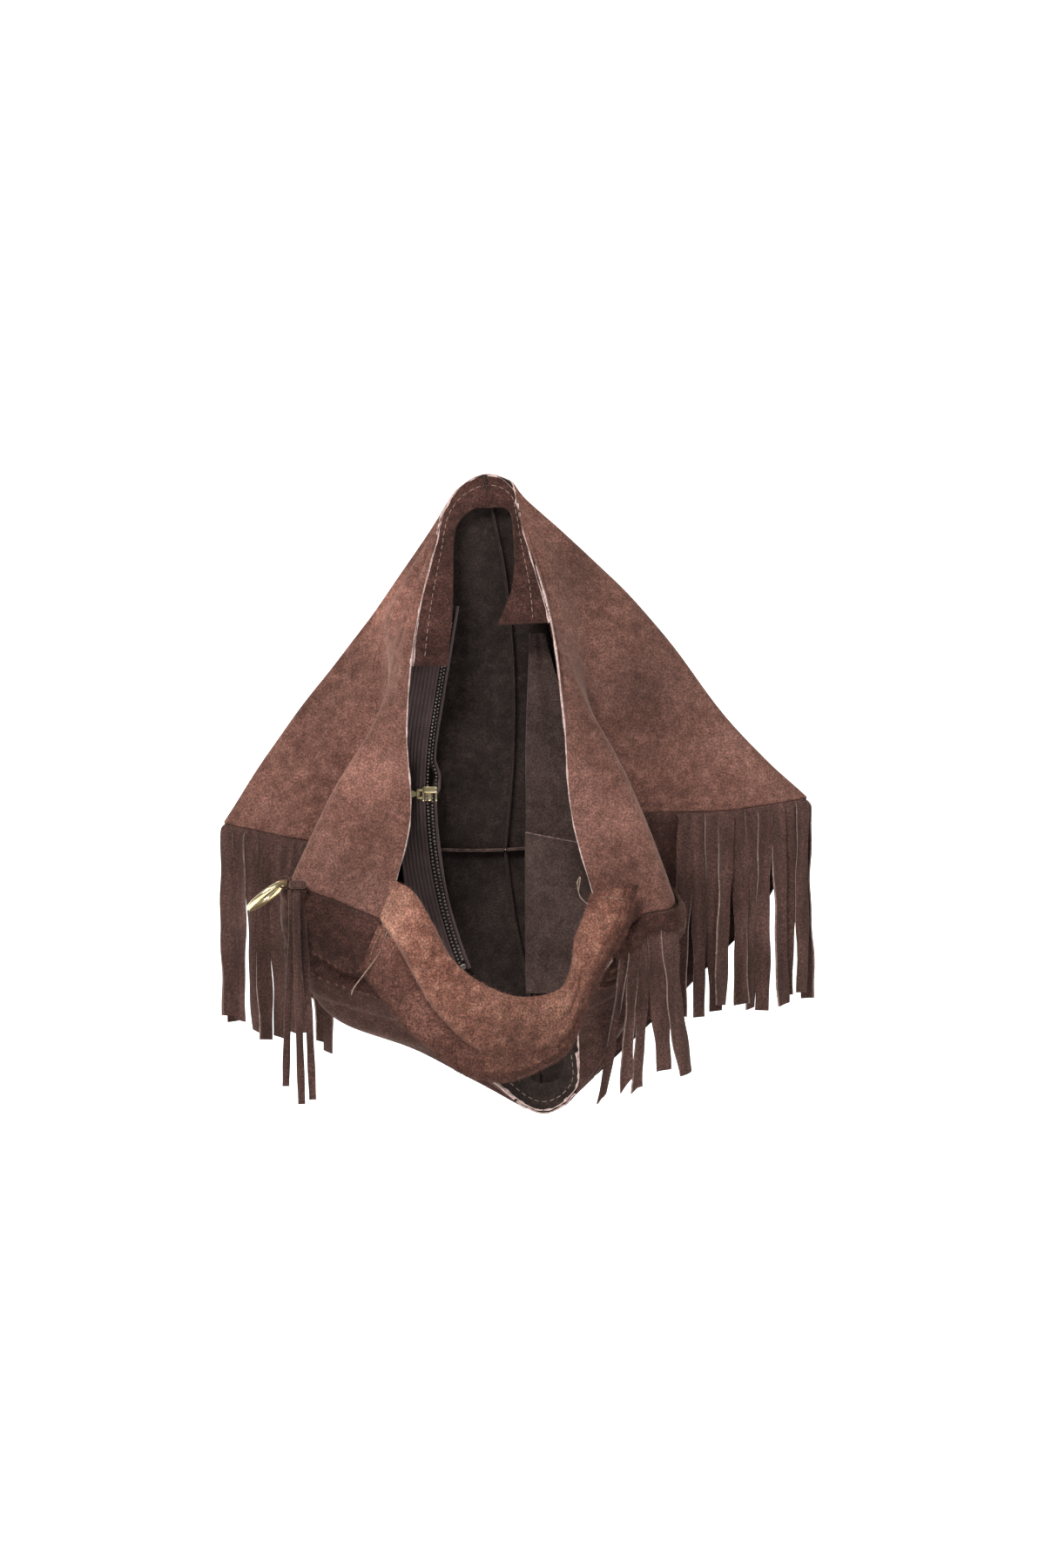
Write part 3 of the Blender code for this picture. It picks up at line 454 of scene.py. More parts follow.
# %% [markdown]
# ## The lace tails
# A narrow lace is tied in the left seam to hold the ring, and its three ends hang free. A lace is cut from the
# same suede, 3.6 mm wide and a little over a millimetre thick. Each one is a flat section carried down a smooth
# line from the knot: it starts straight down, and turns slowly as it hangs. They are made first, as all free
# cords are, because their room depends on where the camera looks.
# %% Helper: a flat lace along a route
LACE_WIDTH, LACE_THICK = 0.0036, 0.0012


def flat_lace(route, twist, count=70):
    """A flat oval section carried along a spline; its wide side turns by `twist` radians from top to foot."""
    path = spline(np.asarray(route), np.linspace(0, 1, count))
    forward = unit(np.gradient(path, axis=0))
    turn = np.linspace(twist[0], twist[1], count)[:, None]
    wide = np.cos(turn) * np.array([1.0, 0, 0]) + np.sin(turn) * np.array([0, 1.0, 0])
    wide = unit(wide - (wide * forward).sum(1, keepdims=True) * forward)
    out = unit(np.cross(forward, wide))
    down = np.linspace(0, 1, count)[:, None]
    grow = 1.1 + 0.06 * np.sin(31 * down)
    return path, sweep_profile(path, wide * LACE_WIDTH / 2 * grow, out * LACE_THICK / 2)


# %% The three tails
tails = {
    "lace_tail_left": ([(-0.0989, -0.078, -0.2198), (-0.0988, -0.079, -0.245), (-0.101, -0.079, -0.285),
                        (-0.102, -0.079, -0.322)], (0.1, 0.35)),
    "lace_tail_middle": ([(-0.0963, -0.0826, -0.2198), (-0.096, -0.083, -0.245), (-0.095, -0.083, -0.285),
                          (-0.0935, -0.083, -0.331)], (-0.25, 0.2)),
    "lace_tail_right": ([(-0.0933, -0.078, -0.2198), (-0.0926, -0.079, -0.245), (-0.090, -0.079, -0.285),
                         (-0.088, -0.079, -0.329)], (0.3, -0.1)),
}
for name, (route, twist) in tails.items():
    path, (points, patches) = flat_lace(route, twist)
    tail = place_piece(name + "_cord", points, patches, [suede_fringe], stands_for=[name])


# %% [markdown]
# ## The four panels
# Each rim's rays are written from left to right: rim, flap, fold, tuck, wing, side, back, centre, and the same
# in reverse. The side corners are folded forward like a paper fan, so going left from the mouth the suede runs
# out over the flap, back into the hidden tuck, out again over the wing, and round the side to the flat back.
# %% Rays of the rear and the front
REAR_RAYS = MM * np.array([
    [(-25, -8, -32), (-36, -34, -84), (-40, -52, -135), (-38, -67, -185), (-51, -80, -235)],
    [(-25, -8, -31), (-39, -31, -82), (-47, -49, -131), (-57, -65, -179), (-75, -77, -225)],
    [(-25, -7, -29), (-41, -25, -77), (-54, -41, -126), (-78, -55, -170), (-99, -67, -214)],
    [(-24, -6, -26), (-49, -15, -74), (-51, -21, -121), (-60, -24, -163), (-71, -27, -200)],
    [(-23, -5, -24), (-51, -9, -71), (-67, -13, -113), (-86, -15, -155), (-106, -16, -192)],
    [(-23, -4, -21), (-55, -3, -68), (-85, -2, -107), (-114, -2, -147), (-138, -2, -185)],
    [(-14, -2, -6), (-26, -2, -56), (-39, -2, -102), (-52, -3, -149), (-63, -5, -196)],
    [(0, -1, 2), (11, -2, -47), (16, -4, -99), (16, -6, -150), (12, -7, -199)],
    [(14, -2, -1), (31, -2, -49), (52, -2, -94), (73, -3, -140), (92, -5, -188)],
    [(17, -4, -7), (59, -3, -45), (95, -2, -83), (133, -2, -132), (173, -2, -172)],
    [(18, -5, -13), (51, -9, -50), (78, -13, -92), (106, -15, -139), (131, -16, -178)],
    [(19, -6, -15), (42, -15, -57), (53, -21, -104), (61, -24, -146), (68, -27, -184)],
    [(20, -7, -19), (36, -25, -67), (53, -41, -118), (77, -55, -164), (100, -67, -224)],
    [(20, -8, -21), (36, -31, -75), (46, -49, -128), (62, -65, -178), (82, -77, -233)],
    [(21, -8, -24), (36, -34, -77), (43, -52, -131), (48, -67, -185), (67, -80, -250)]])
FRONT_RAYS = MM * np.array([
    [(17, -48, -331), (-4, -58, -313), (-22, -66, -297), (-38, -72, -269), (-51, -80, -237)],
    [(18, -47, -332), (-9, -54, -312), (-29, -60, -296), (-53, -68, -272), (-75, -77, -227)],
    [(20, -46, -334), (-29, -47, -306), (-78, -50, -287), (-97, -58, -256), (-99, -67, -216)],
    [(22, -45, -335), (-32, -34, -303), (-71, -18, -277), (-81, -16, -238), (-71, -27, -202)],
    [(23, -44, -336), (-33, -31, -304), (-82, -12, -280), (-100, -9, -232), (-106, -16, -194)],
    [(24, -44, -336), (-34, -29, -304), (-87, -9, -280), (-107, -6, -228), (-138, -2, -187)],
    [(28, -42, -338), (-9, -28, -305), (-39, -13, -269), (-54, -7, -235), (-63, -5, -198)],
    [(32, -40, -339), (28, -26, -308), (24, -13, -272), (17, -8, -237), (12, -7, -201)],
    [(37, -42, -338), (53, -27, -305), (68, -13, -270), (82, -7, -230), (92, -5, -190)],
    [(42, -44, -335), (78, -24, -302), (114, -9, -268), (152, -4, -226), (173, -2, -174)],
    [(44, -45, -334), (74, -26, -302), (102, -12, -266), (130, -9, -225), (131, -16, -180)],
    [(45, -45, -333), (63, -33, -302), (74, -22, -266), (74, -20, -226), (68, -27, -186)],
    [(47, -46, -330), (65, -48, -307), (82, -50, -281), (95, -57, -251), (100, -67, -226)],
    [(49, -47, -328), (60, -54, -308), (69, -59, -284), (77, -67, -261), (82, -77, -235)],
    [(52, -48, -323), (51, -55, -307), (51, -63, -289), (58, -72, -269), (67, -80, -252)]])
CENTRE, LAST = 7, 14
print("rays:", len(REAR_RAYS), "rear,", len(FRONT_RAYS), "front")
# %% [markdown]
# A panel's edges are sewn, so they turn in. Past the seam line two more millimetres of suede bend inwards and
# are skived thin, which makes the groove outside and the raw double edge inside. Along the centre seam the
# panel dips into its groove in the same way. Wrinkles are heights added along the normals: long soft waves that
# run with the rays, and near the folded tips a crumpled, lapped relief.
# %% Helper: one panel
SUEDE, SKIVED = 1.4 * MM, 0.6 * MM
PANEL_ROWS = 130


def reach(grid, axis):
    """Distance along one axis of a grid from its first line."""
    steps = np.linalg.norm(np.diff(grid, axis=axis), axis=2)
    zero = np.zeros_like(np.take(steps, [0], axis=axis))
    return np.concatenate([zero, np.cumsum(steps, axis=axis)], axis=axis)


def turned_edge(grid, out, radius, depths):
    """Lines past a grid's last line: a quarter turn inwards of the given radius, then straight in by depths."""
    onward = unit(grid[-1] - grid[-3])
    bend = [grid[-1] + (onward * math.sin(a) - out[-1] * (1 - math.cos(a))) * radius for a in (0.5, 1.0, 1.57)]
    return np.stack(bend + [bend[-1] - out[-1] * depth for depth in depths])


def panel_grid(rays, first, last, outward, relief):
    """The panel's middle surface and its thickness, with its relief and its two turned-in, skived edges."""
    across = np.linspace(first, last, (last - first) * 14 + 1)
    if first == CENTRE:
        across = across[::-1]
    along = np.linspace(0, 1, PANEL_ROWS)
    grid = skin(rays, across / LAST, along)
    hand = outward * (1 if last == CENTRE else -1)
    out = normals_of(grid) * hand
    u, v = np.meshgrid(across, along, indexing="ij")
    grid = grid + out * relief(u, v, grid)[..., None]
    from_centre = reach(grid[::-1], 0)[::-1, :, None]
    dip = np.exp(-(from_centre / (1.8 * MM)) ** 2)
    grid = grid - out * 0.4 * MM * dip - unit(np.gradient(grid, axis=0)) * 0.85 * MM * dip
    centre_edge = turned_edge(grid, out, 0.45 * MM, (1.0 * MM, 2.0 * MM, 3.0 * MM))
    grid = np.concatenate([grid, centre_edge])
    out = np.concatenate([out, np.repeat(out[-1:], len(centre_edge), axis=0)])
    seam_edge = turned_edge(grid.transpose(1, 0, 2), out.transpose(1, 0, 2), 0.55 * MM,
                            (1.2 * MM, 2.4 * MM, 3.6 * MM)).transpose(1, 0, 2)
    grid = np.concatenate([grid, seam_edge], axis=1)
    thickness = np.full(grid.shape[:2], SUEDE)
    thickness[-7:] = np.minimum(thickness[-7:], np.linspace(SUEDE, SKIVED, 7)[:, None])
    thickness[:, -7:] = np.minimum(thickness[:, -7:], np.linspace(SUEDE, SKIVED, 7)[None, :])
    return grid, thickness, hand


def make_panel(name, rays, first, last, outward, relief, finish):
    """A closed sheet of suede over one quarter; outward is +1 or -1 against the skin's own normals.

    It returns the panel's middle grid and its outward normals.
    """
    grid, thickness, hand = panel_grid(rays, first, last, outward, relief)
    points, patches = closed_sheet(grid, thickness, (0, 1, (2, 1, 1, 3)) if hand > 0 else (1, 0, (2, 1, 1, 3)))
    # The inner faces take the suede painted near black, as painted shade for the inside of the bag.
    place_piece(name + "_suede", points, patches, [finish, suede_inner_painted_shade, raw_edge, seam_edge], stands_for=[name])
    return grid, normals_of(grid) * hand


# %% Relief of the rear and the front
def near(value, middle, width):
    """A bell of height 1 about middle."""
    return np.exp(-((value - middle) / width) ** 2)


def calm_of(u, v, seam_share):
    """1 in the open suede and 0 at the rims, the notches, the centre and the seams."""
    calm = np.clip(np.minimum(u, LAST - u) / 0.7, 0, 1) * np.clip((1 - v) / seam_share, 0, 1)
    return calm * np.clip(v / 0.15, 0, 1) * np.clip(np.abs(u - CENTRE) / 0.5, 0, 1)


def rear_relief(u, v, grid):
    """Soft waves that follow the rays, dying out towards the rims, the seams and the centre."""
    calm = calm_of(u, v, 0.12)
    return 1.1 * MM * calm * ripple(2.3 * u, 4.0 * v, 0.3) + 0.35 * MM * calm * ripple(6 * u, 15 * v, 0.8)


def front_relief(u, v, grid):
    """The same waves below, and a crumpled lap beside the seam near each tip."""
    calm = calm_of(u, v, 0.1)
    waves = 1.0 * MM * calm * ripple(2.5 * u, 4.5 * v, 1.3) + 0.3 * MM * calm * ripple(7 * u, 13 * v, 0.1)
    tips = np.clip((2.6 - np.minimum(u, LAST - u)) / 0.5, 0, 1)
    lap = 0.5 - 0.5 * np.tanh((0.80 + 0.02 * np.sin(5 * u) - v) / 0.012)
    second = 0.5 - 0.5 * np.tanh((0.60 + 0.02 * np.sin(4 * u) - v) / 0.012)
    crumple = ripple(grid[..., 0] / (2.2 * MM), grid[..., 2] / (2.6 * MM), 0.6)
    inner = np.clip((1 - v) / 0.05, 0, 1)
    return waves + tips * inner * (1.5 * MM * lap + 1.2 * MM * second + 0.25 * MM * crumple * (v > 0.55))


# %% Rear panels
rear_left_grid, rear_left_out = make_panel("rear_left_panel", REAR_RAYS, 0, CENTRE, 1,
                                           rear_relief, suede_outer)
rear_right_grid, rear_right_out = make_panel("rear_right_panel", REAR_RAYS, CENTRE, LAST, 1,
                                             rear_relief, suede_outer)
# %% Front panels
# The front panels face down, so their suede is painted darker: painted shade.
front_left_grid, front_left_out = make_panel("front_left_panel", FRONT_RAYS, 0, CENTRE, -1,
                                             front_relief, suede_painted_shade)
front_right_grid, front_right_out = make_panel("front_right_panel", FRONT_RAYS, CENTRE, LAST, -1,
                                               front_relief, suede_painted_shade)
# %% [markdown]
# ## The facings
# A narrow strip of the same suede stiffens each rim. Its outer edge is left raw, so beside the panel's own cut
# edge it draws the pale double line round the mouth. The strip is read from pairs of points, one near the rim
# and one on its free inner edge, and its outer edge is then drawn out towards the rim.
# %% The two strips
REAR_FACING = MM * np.array([
    ((-35, -37, -103), (-19, -32, -102)), ((-32, -26, -72), (-16, -26, -70)),
    ((-22.5, -9, -34), (-16, -17, -43)), ((-19.5, -6, -20), (-14, -10, -26)),
    ((-12, -4.6, -10), (-6, -8, -17)), ((0, -4, -5), (3, -8, -16)), ((12, -5, -8), (13, -8, -17)),
    ((15.5, -8, -17), (16, -12, -26)), ((20, -11, -32), (17, -17, -45)),
    ((27, -23, -58), (15, -25, -62)), ((33.5, -34, -79), (8, -29, -80))])
FRONT_FACING = MM * np.array([
    ((-14, -59, -301), (-4, -52, -293)), ((10, -49, -322), (17, -46, -313)),
    ((22, -49, -331), (26, -45, -321)), ((32, -45, -335), (33, -43, -323)),
    ((42, -49, -330), (41, -46, -320)), ((48.5, -51, -321), (43, -48, -312)),
    ((47.5, -55, -306), (40, -50, -297))])
FACING = 1.2 * MM


def make_facing(name, edges, count, rays, finish):
    """A closed sheet between the two edges. Its outer edge is drawn most of the way out to the panels' rim."""
    pairs = spline(edges, np.linspace(0, 1, count))
    rim = np.concatenate([spline(rays[0][::-1], np.linspace(0, 1, 90)),
                          spline(rays[:, 0], np.linspace(0, 1, 90)), spline(rays[-1], np.linspace(0, 1, 90))])
    nearest = rim[np.linalg.norm(pairs[:, None, 0] - rim[None], axis=2).argmin(axis=1)]
    step = nearest - pairs[:, 0]
    kernel = np.hanning(13) / np.hanning(13).sum()
    smooth = lambda values: np.convolve(np.pad(values, 6, mode="edge"), kernel, mode="valid")
    step = np.stack([smooth(step[:, k]) for k in range(3)], axis=1)
    pairs[:, 0] += (0.62 + 0.3 * np.clip((pairs[:, 0, 2:] + 0.02) / 0.015, 0, 1)) * step
    share = np.linspace(0, 1, 14)[None, :, None]
    grid = pairs[:, None, 0] * (1 - share) + pairs[:, None, 1] * share
    out = normals_of(grid)
    u, v = np.meshgrid(np.linspace(0, 1, count), np.linspace(0, 1, 14), indexing="ij")
    grid = grid + out * (0.35 * MM * v * ripple(30 * u, 6 * v, 0.5))[..., None]
    points, patches = closed_sheet(grid, FACING, (0, 0, (0, 0, 1, 0)))
    place_piece(name + "_strip", points, patches, [finish, raw_edge], stands_for=[name])
    return grid


rear_facing_grid = make_facing("rear_facing", REAR_FACING, 200, REAR_RAYS, suede_tip)
# The front facing, inside the mouth, takes the near-black suede: painted shade.
front_facing_grid = make_facing("front_facing", FRONT_FACING, 110, FRONT_RAYS, suede_inner_painted_shade)
# %% [markdown]
# Near each folded tip two rough, lapped layers of suede lie over the seam, torn rather than cut along their
# lower edges. A layer is read from the panel under it and lifted along the panel's normals.
# %% Lapped layers at the tips
def lapped_layer(grid, out, columns, low, high, lift, seed):
    """Rows between two heights of the panel's rays, with a ragged lower edge, lifted by `lift`."""
    rows = []
    for i in columns:
        wander = 0.020 * math.sin(0.23 * i + seed) + 0.008 * math.sin(0.6 * i + 2 * seed)
        at = np.linspace(low + wander, high, 40)
        rows.append(spline(grid[i, :PANEL_ROWS] + out[i, :PANEL_ROWS] * lift, at))
    sheet = np.array(rows)
    u, v = np.meshgrid(np.arange(len(rows)) / len(rows), np.linspace(0, 1, 40), indexing="ij")
    wave = 0.8 * MM * ripple(6 * u, 3 * v, seed) + 0.3 * MM * ripple(24 * u, 11 * v, seed + 1)
    normal = normals_of(sheet) * np.sign(-normals_of(sheet)[..., 1:2])
    return sheet + normal * (wave + 0.6 * MM * (1 - v) ** 2)[..., None]


TIP_COLUMNS = range(2, 31)
layers = [lapped_layer(front_left_grid, front_left_out, TIP_COLUMNS, 0.835, 0.985, 3.3 * MM, 0.4),
          lapped_layer(front_left_grid, front_left_out, TIP_COLUMNS, 0.725, 0.88, 1.7 * MM, 2.1),
          lapped_layer(front_right_grid, front_right_out, TIP_COLUMNS, 0.86, 0.985, 3.3 * MM, 1.2),
          lapped_layer(front_right_grid, front_right_out, TIP_COLUMNS, 0.75, 0.90, 1.7 * MM, 3.3)]
points, patches = gather([closed_sheet(sheet, 1.2 * MM, (0, 0, 1)) for sheet in layers])
# The layers' cut edges take the front panels' darker suede, which is painted shade.
place_piece("tip_layers", points, patches, [suede_tip, suede_painted_shade])
# %% [markdown]
# The rims are cut, so a pale fibrous line runs along the panel's edge and a second one along the facing's. Each
# line is a thin roll of fibres, a tube whose radius wavers along its length.
# %% Pale rolls along the rims
def edge_roll(line, radius=0.56 * MM, sides=8):
    """A tube of radius r(s) = radius (1 + 0.25 sin 40s + 0.2 sin 97s), its section upright to the line."""
    forward = unit(np.gradient(line, axis=0))
    side = unit(np.cross(forward, [0.0, 1.0, 0.0]))
    up = np.cross(forward, side)
    s = np.linspace(0, 1, len(line))
    width = radius * (1 + 0.25 * np.sin(40 * s) + 0.2 * np.sin(97 * s))
    turn = np.linspace(0, 2 * math.pi, sides, endpoint=False)
    return closed_tube(line[:, None] + (side[:, None] * np.cos(turn)[None, :, None]
                                        + up[:, None] * np.sin(turn)[None, :, None]) * width[:, None, None])


TO_SEAM = 124
lines = [rear_left_grid[0, :TO_SEAM], rear_right_grid[0, :TO_SEAM],
         front_left_grid[0, :TO_SEAM], front_right_grid[0, :TO_SEAM],
         rear_facing_grid[:, 0], front_facing_grid[:, 0], spline(REAR_RAYS[1:14, 0], np.linspace(0, 1, 90)),
         spline(FRONT_RAYS[1:14, 0], np.linspace(0, 1, 90))]
points, patches = gather([edge_roll(line) for line in lines])
place_piece("rim_edges", points, patches, [rim_fibre])
# %% [markdown]
# ## Handle
# The handle is one wide band folded lengthwise, so its section is a flat oval, thicker at mid length. Its two
# ends are sewn flat over the tips. The fold leaves a crease along the band: above it the nap is brushed light,
# below it the suede is dark and rough. The section is carried along two edge lines, and the crease, the
# wrinkles of the bend and the rough lower half are heights on it.
# %% The folded band
HANDLE_EDGES = MM * np.array([
    ((-45, -84, -215), (-62, -84, -261)), ((-35, -90, -221), (-50, -92, -277)),
    ((-25, -96, -237), (-40, -98, -289)), ((-15, -100, -255), (-26, -104, -301)),
    ((0, -104, -267), (-8, -108, -314)), ((19, -106, -274), (12, -112, -317)),
    ((39, -104, -271), (32, -112, -310)), ((46, -100, -260), (46, -108, -299)),
    ((48, -96, -245), (57, -102, -273)), ((52, -92, -235), (67, -96, -254)),
    ((55, -87, -227), (75, -88, -241)), ((57, -83, -222), (81, -82, -217))])
HANDLE_THICK, HANDLE_END_THICK = 6.0 * MM, 3.4 * MM


def handle_surface(count=300, around=220):
    """Ring j of the band: middle + half width x cos^0.8 + normal x half thickness x sin^0.6, plus its relief.

    It returns the rings, each point's place across the band, whether it faces forward and how rough it is.
    """
    at = np.linspace(0, 1, count)
    edges = spline(HANDLE_EDGES, at)
    middle, half = edges.mean(axis=1), (edges[:, 0] - edges[:, 1]) / 2
    forward = unit(np.gradient(middle, axis=0))
    normal = unit(np.cross(forward, half))
    thick = HANDLE_END_THICK + (HANDLE_THICK - HANDLE_END_THICK) * np.sin(math.pi * at) ** 0.5
    turn = np.linspace(0, 2 * math.pi, around, endpoint=False)
    wide = np.sign(np.cos(turn)) * np.abs(np.cos(turn)) ** 0.8
    deep = np.sign(np.sin(turn)) * np.abs(np.sin(turn)) ** 0.6
    t, w = np.meshgrid(at, wide, indexing="ij")
    faces_viewer = np.sign(-normal[:, 1])[:, None] * deep[None, :]
    crease_at = 0.08 - 1.25 * t
    below = 0.5 - 0.5 * np.tanh((w - crease_at) / 0.03)
    fade = np.clip((0.46 - t) / 0.12, 0, 1)
    crease = (-2.2 * MM * near(w, crease_at, 0.07) - 1.2 * MM * below * near(w, crease_at, 0.35)) * fade
    bend = np.clip((t - 0.45) / 0.1, 0, 1) * np.clip((0.80 - t) / 0.1, 0, 1)
    folds = 0.9 * MM * bend * np.sin(11 * w + 9 * t) * near(w, -0.25, 0.6)
    lumps = 0.45 * MM * ripple(26 * t, 3.5 * w, 0.2)
    rough = 0.18 * MM * ripple(170 * t, 16 * w, 0.9)
    height = (crease + folds) * (faces_viewer > 0) + (lumps + rough) * np.abs(deep)[None, :]
    rings = (middle[:, None] + half[:, None] * wide[None, :, None]
             + normal[:, None] * (deep[None, :] * (thick[:, None] / 2 + height))[..., None])
    return rings, w, faces_viewer, below * fade


band, band_w, band_near, band_rough = handle_surface()
points, patches = closed_tube(band)
sides = patches[0][0]
dark_side = (band_rough.ravel()[sides].mean(axis=1) > 0.5) | (band_w.ravel()[sides].mean(axis=1) < -0.80)
patches = [(sides[~dark_side], 0), (sides[dark_side], 1)] + [(faces, 2) for faces, _ in patches[1:]]
place_piece("handle_band", points, patches, [suede_handle, suede_rough, raw_edge], stands_for=["handle"])
# %% [markdown]
# Loose fibres stand up all over the rough parts and along the edges. One fibre is a needle with a three-sided
# foot, bent over at random, and thousands of them are placed at once on the points of a surface.
# %% Nap fibres
def nap(name, places, normals, count, length, finish, seed, width=0.09 * MM):
    """count needles at random places: foot radius `width`, tip at normal x length with a random lean."""
    chance = np.random.default_rng(seed)
    pick = chance.integers(0, len(places), count)
    out = normals[pick]
    lean = chance.normal(0, 0.75, (count, 3))
    tip = unit(out + lean - out * np.minimum((lean * out).sum(1, keepdims=True), 0)) * length * (
        0.4 + 0.9 * chance.random((count, 1)))
    side = unit(np.cross(tip, chance.normal(0, 1, (count, 3))))
    other = unit(np.cross(tip, side))
    foot = places[pick] + chance.normal(0, 0.35 * MM, (count, 3)) - out * 0.3 * MM
    corners = [side, -0.5 * side + 0.87 * other, -0.5 * side - 0.87 * other]
    points = np.stack([foot + corner * width for corner in corners] + [foot + tip + out * 0.3 * MM], axis=1)
    face = np.array([[0, 2, 1], [0, 1, 3], [1, 2, 3], [2, 0, 3]])
    upward = (np.cross(points[:, 1] - points[:, 0], points[:, 2] - points[:, 0]) * tip).sum(1) < 0
    faces = np.arange(count)[:, None, None] * 4 + np.where(upward[:, None, None], face[:, ::-1], face)
    return place_piece(name, points.reshape(-1, 3), [(faces.reshape(-1, 3), 0)], [finish])


band_out = normals_of(band)
band_out *= np.sign((band_out * (band - band.mean(axis=1, keepdims=True))).sum(axis=2).mean())
low_half = (band_w < -0.35) | (band_rough > 0.5)
nap("nap_handle_low", band[low_half], band_out[low_half], 30000, 1.5 * MM, dark_fibre, 3)
nap("nap_handle", band.reshape(-1, 3), band_out.reshape(-1, 3), 22000, 0.9 * MM, nap_fibre, 4)
layer_points = np.concatenate([sheet.reshape(-1, 3) for sheet in layers])
layer_out = np.concatenate([(normals_of(sheet) * np.sign(-normals_of(sheet)[..., 1:2])).reshape(-1, 3)
                            for sheet in layers])
nap("nap_layers", layer_points, layer_out, 26000, 1.3 * MM, dark_fibre, 5)
edge_points = np.concatenate([sheet[:, :2].reshape(-1, 3) for sheet in layers])
edge_out = np.concatenate([unit(sheet[:, :2] - sheet[:, 3:5]).reshape(-1, 3) for sheet in layers])
nap("nap_layer_edges", edge_points, edge_out, 5000, 1.6 * MM, nap_fibre, 6)
for number, (grid, out) in enumerate(((rear_left_grid, rear_left_out), (rear_right_grid, rear_right_out))):
    wing = (grid[:34, 20:128].reshape(-1, 3), out[:34, 20:128].reshape(-1, 3))
    nap(f"nap_flap_{number}", *wing, 30000, 0.8 * MM, nap_fibre, 7 + number, 0.07 * MM)
# %% [markdown]
# ## Fringe
# A strip of suede is slit into a comb and caught in each side seam, so the strips hang straight down from the
# seam, each with its own slight lean and turn. Every strip is a narrow sheet whose cut sides show pale. The
# seam line is read from the front panel's own edge and stepped outwards.
# %% Helper: the seam line and its strips
STRIP_PITCH, STRIP_WIDTH, STRIP_LENGTH, STRIP_THICK = 7.3 * MM, 8.3 * MM, 106.0 * MM, 1.1 * MM
SLIT_WIDTH = 6.5 * MM


def fringe_line(first, last, count=160):
    """The front panel's seam edge between two rays, and the level direction out of the bag there."""
    edge = skin(FRONT_RAYS, np.linspace(first, last, count) / LAST, np.array([0.96, 1.0]))
    outward = np.cross(np.gradient(edge[:, 1], axis=0), edge[:, 1] - edge[:, 0])
    outward[:, 2] = 0.0
    return edge[:, 1], unit(outward) * (-1 if first > CENTRE else 1)


def run_out(line, outward, overhang=6.0 * MM):
    """Carry the line on past the side corner."""
    step = unit(line[0] - line[8])
    return np.vstack([line[0] + step * overhang, line]), np.vstack([outward[:1], outward])


def read_line(line, values, distances):
    """Points of the line and of its companion values at distances along it."""
    run = np.concatenate([[0], np.cumsum(np.linalg.norm(np.diff(line, axis=0), axis=1))])
    pick = lambda array: np.stack([np.interp(distances, run, array[:, k]) for k in range(3)], axis=1)
    return pick(line), pick(values), run[-1]


def strip(line, outward, start, length, lean, sway, twist, seed):
    """One strip leaves the seam, bends over and hangs; lean and sway move its foot, twist turns it."""
    columns = np.linspace(0, 1, 7)
    across = start + (STRIP_WIDTH + 1.0 * MM * math.sin(3.7 * seed)) * columns - 0.6 * MM
    top, out, _ = read_line(line, outward, across)
    down = np.concatenate([[0, 0.008, 0.02, 0.035], np.linspace(0.055, 1, 44)])
    stand = (2.3 + 0.8 * math.cos(math.pi * seed / 1.7)) * MM * (1 - np.exp(-down / 0.012))
    grid = top[:, None] + out[:, None] * stand[None, :, None]
    grid[..., 2] -= length * down[None, :] - 0.4 * MM
    middle = grid.mean(axis=0, keepdims=True)
    turn = twist * down ** 1.3
    offset = grid - middle
    turned = offset.copy()
    turned[..., 0] = offset[..., 0] * np.cos(turn) - offset[..., 1] * np.sin(turn)
    turned[..., 1] = offset[..., 0] * np.sin(turn) + offset[..., 1] * np.cos(turn)
    wobble = 1 + 0.12 * np.sin(9 * down + seed) + 0.06 * np.sin(23 * down + 2 * seed)
    hang = np.where(down > 0.03, 1.0, down / 0.03)
    grid = middle + turned * (1 + (wobble - 1) * hang)[None, :, None]
    grid[..., 0] += lean * down ** 1.5 + 0.7 * MM * np.sin(7 * down + seed) * down
    grid[..., 1] -= np.abs(sway) * down ** 1.6
    curl = ((1.0 + 0.5 * math.sin(4.4 * seed)) * MM * np.sin(3 * down + seed)[None, :]
            * (2 * columns[:, None] - 1) ** 2 * hang[None, :])
    grid = grid + normals_of(grid) * curl[..., None]
    cut = 1.2 * MM * np.sin(5 * seed) * (columns - 0.5)
    grid[..., 2] += cut[:, None] * (down ** 8)[None, :]
    return closed_sheet(grid, STRIP_THICK, (0, 0, 1))


def make_fringe(name, line, outward, share, shapes):
    """All strips of one stretch; shapes(i) gives lean, sway, twist and length share of strip i."""
    _, _, length = read_line(line, outward, np.zeros(1))
    count = int((length + STRIP_PITCH - SLIT_WIDTH) // STRIP_PITCH)
    parts = []
    for i in range(count):
        lean, sway, twist, long = shapes(i)
        parts.append(strip(line, outward, STRIP_PITCH * i, STRIP_LENGTH * share * long, lean * MM, sway * MM,
                           twist, 1.7 * i + share))
    points, patches = gather(parts)
    return place_piece(name + "_strips", points, patches, [suede_fringe, raw_edge], stands_for=[name])


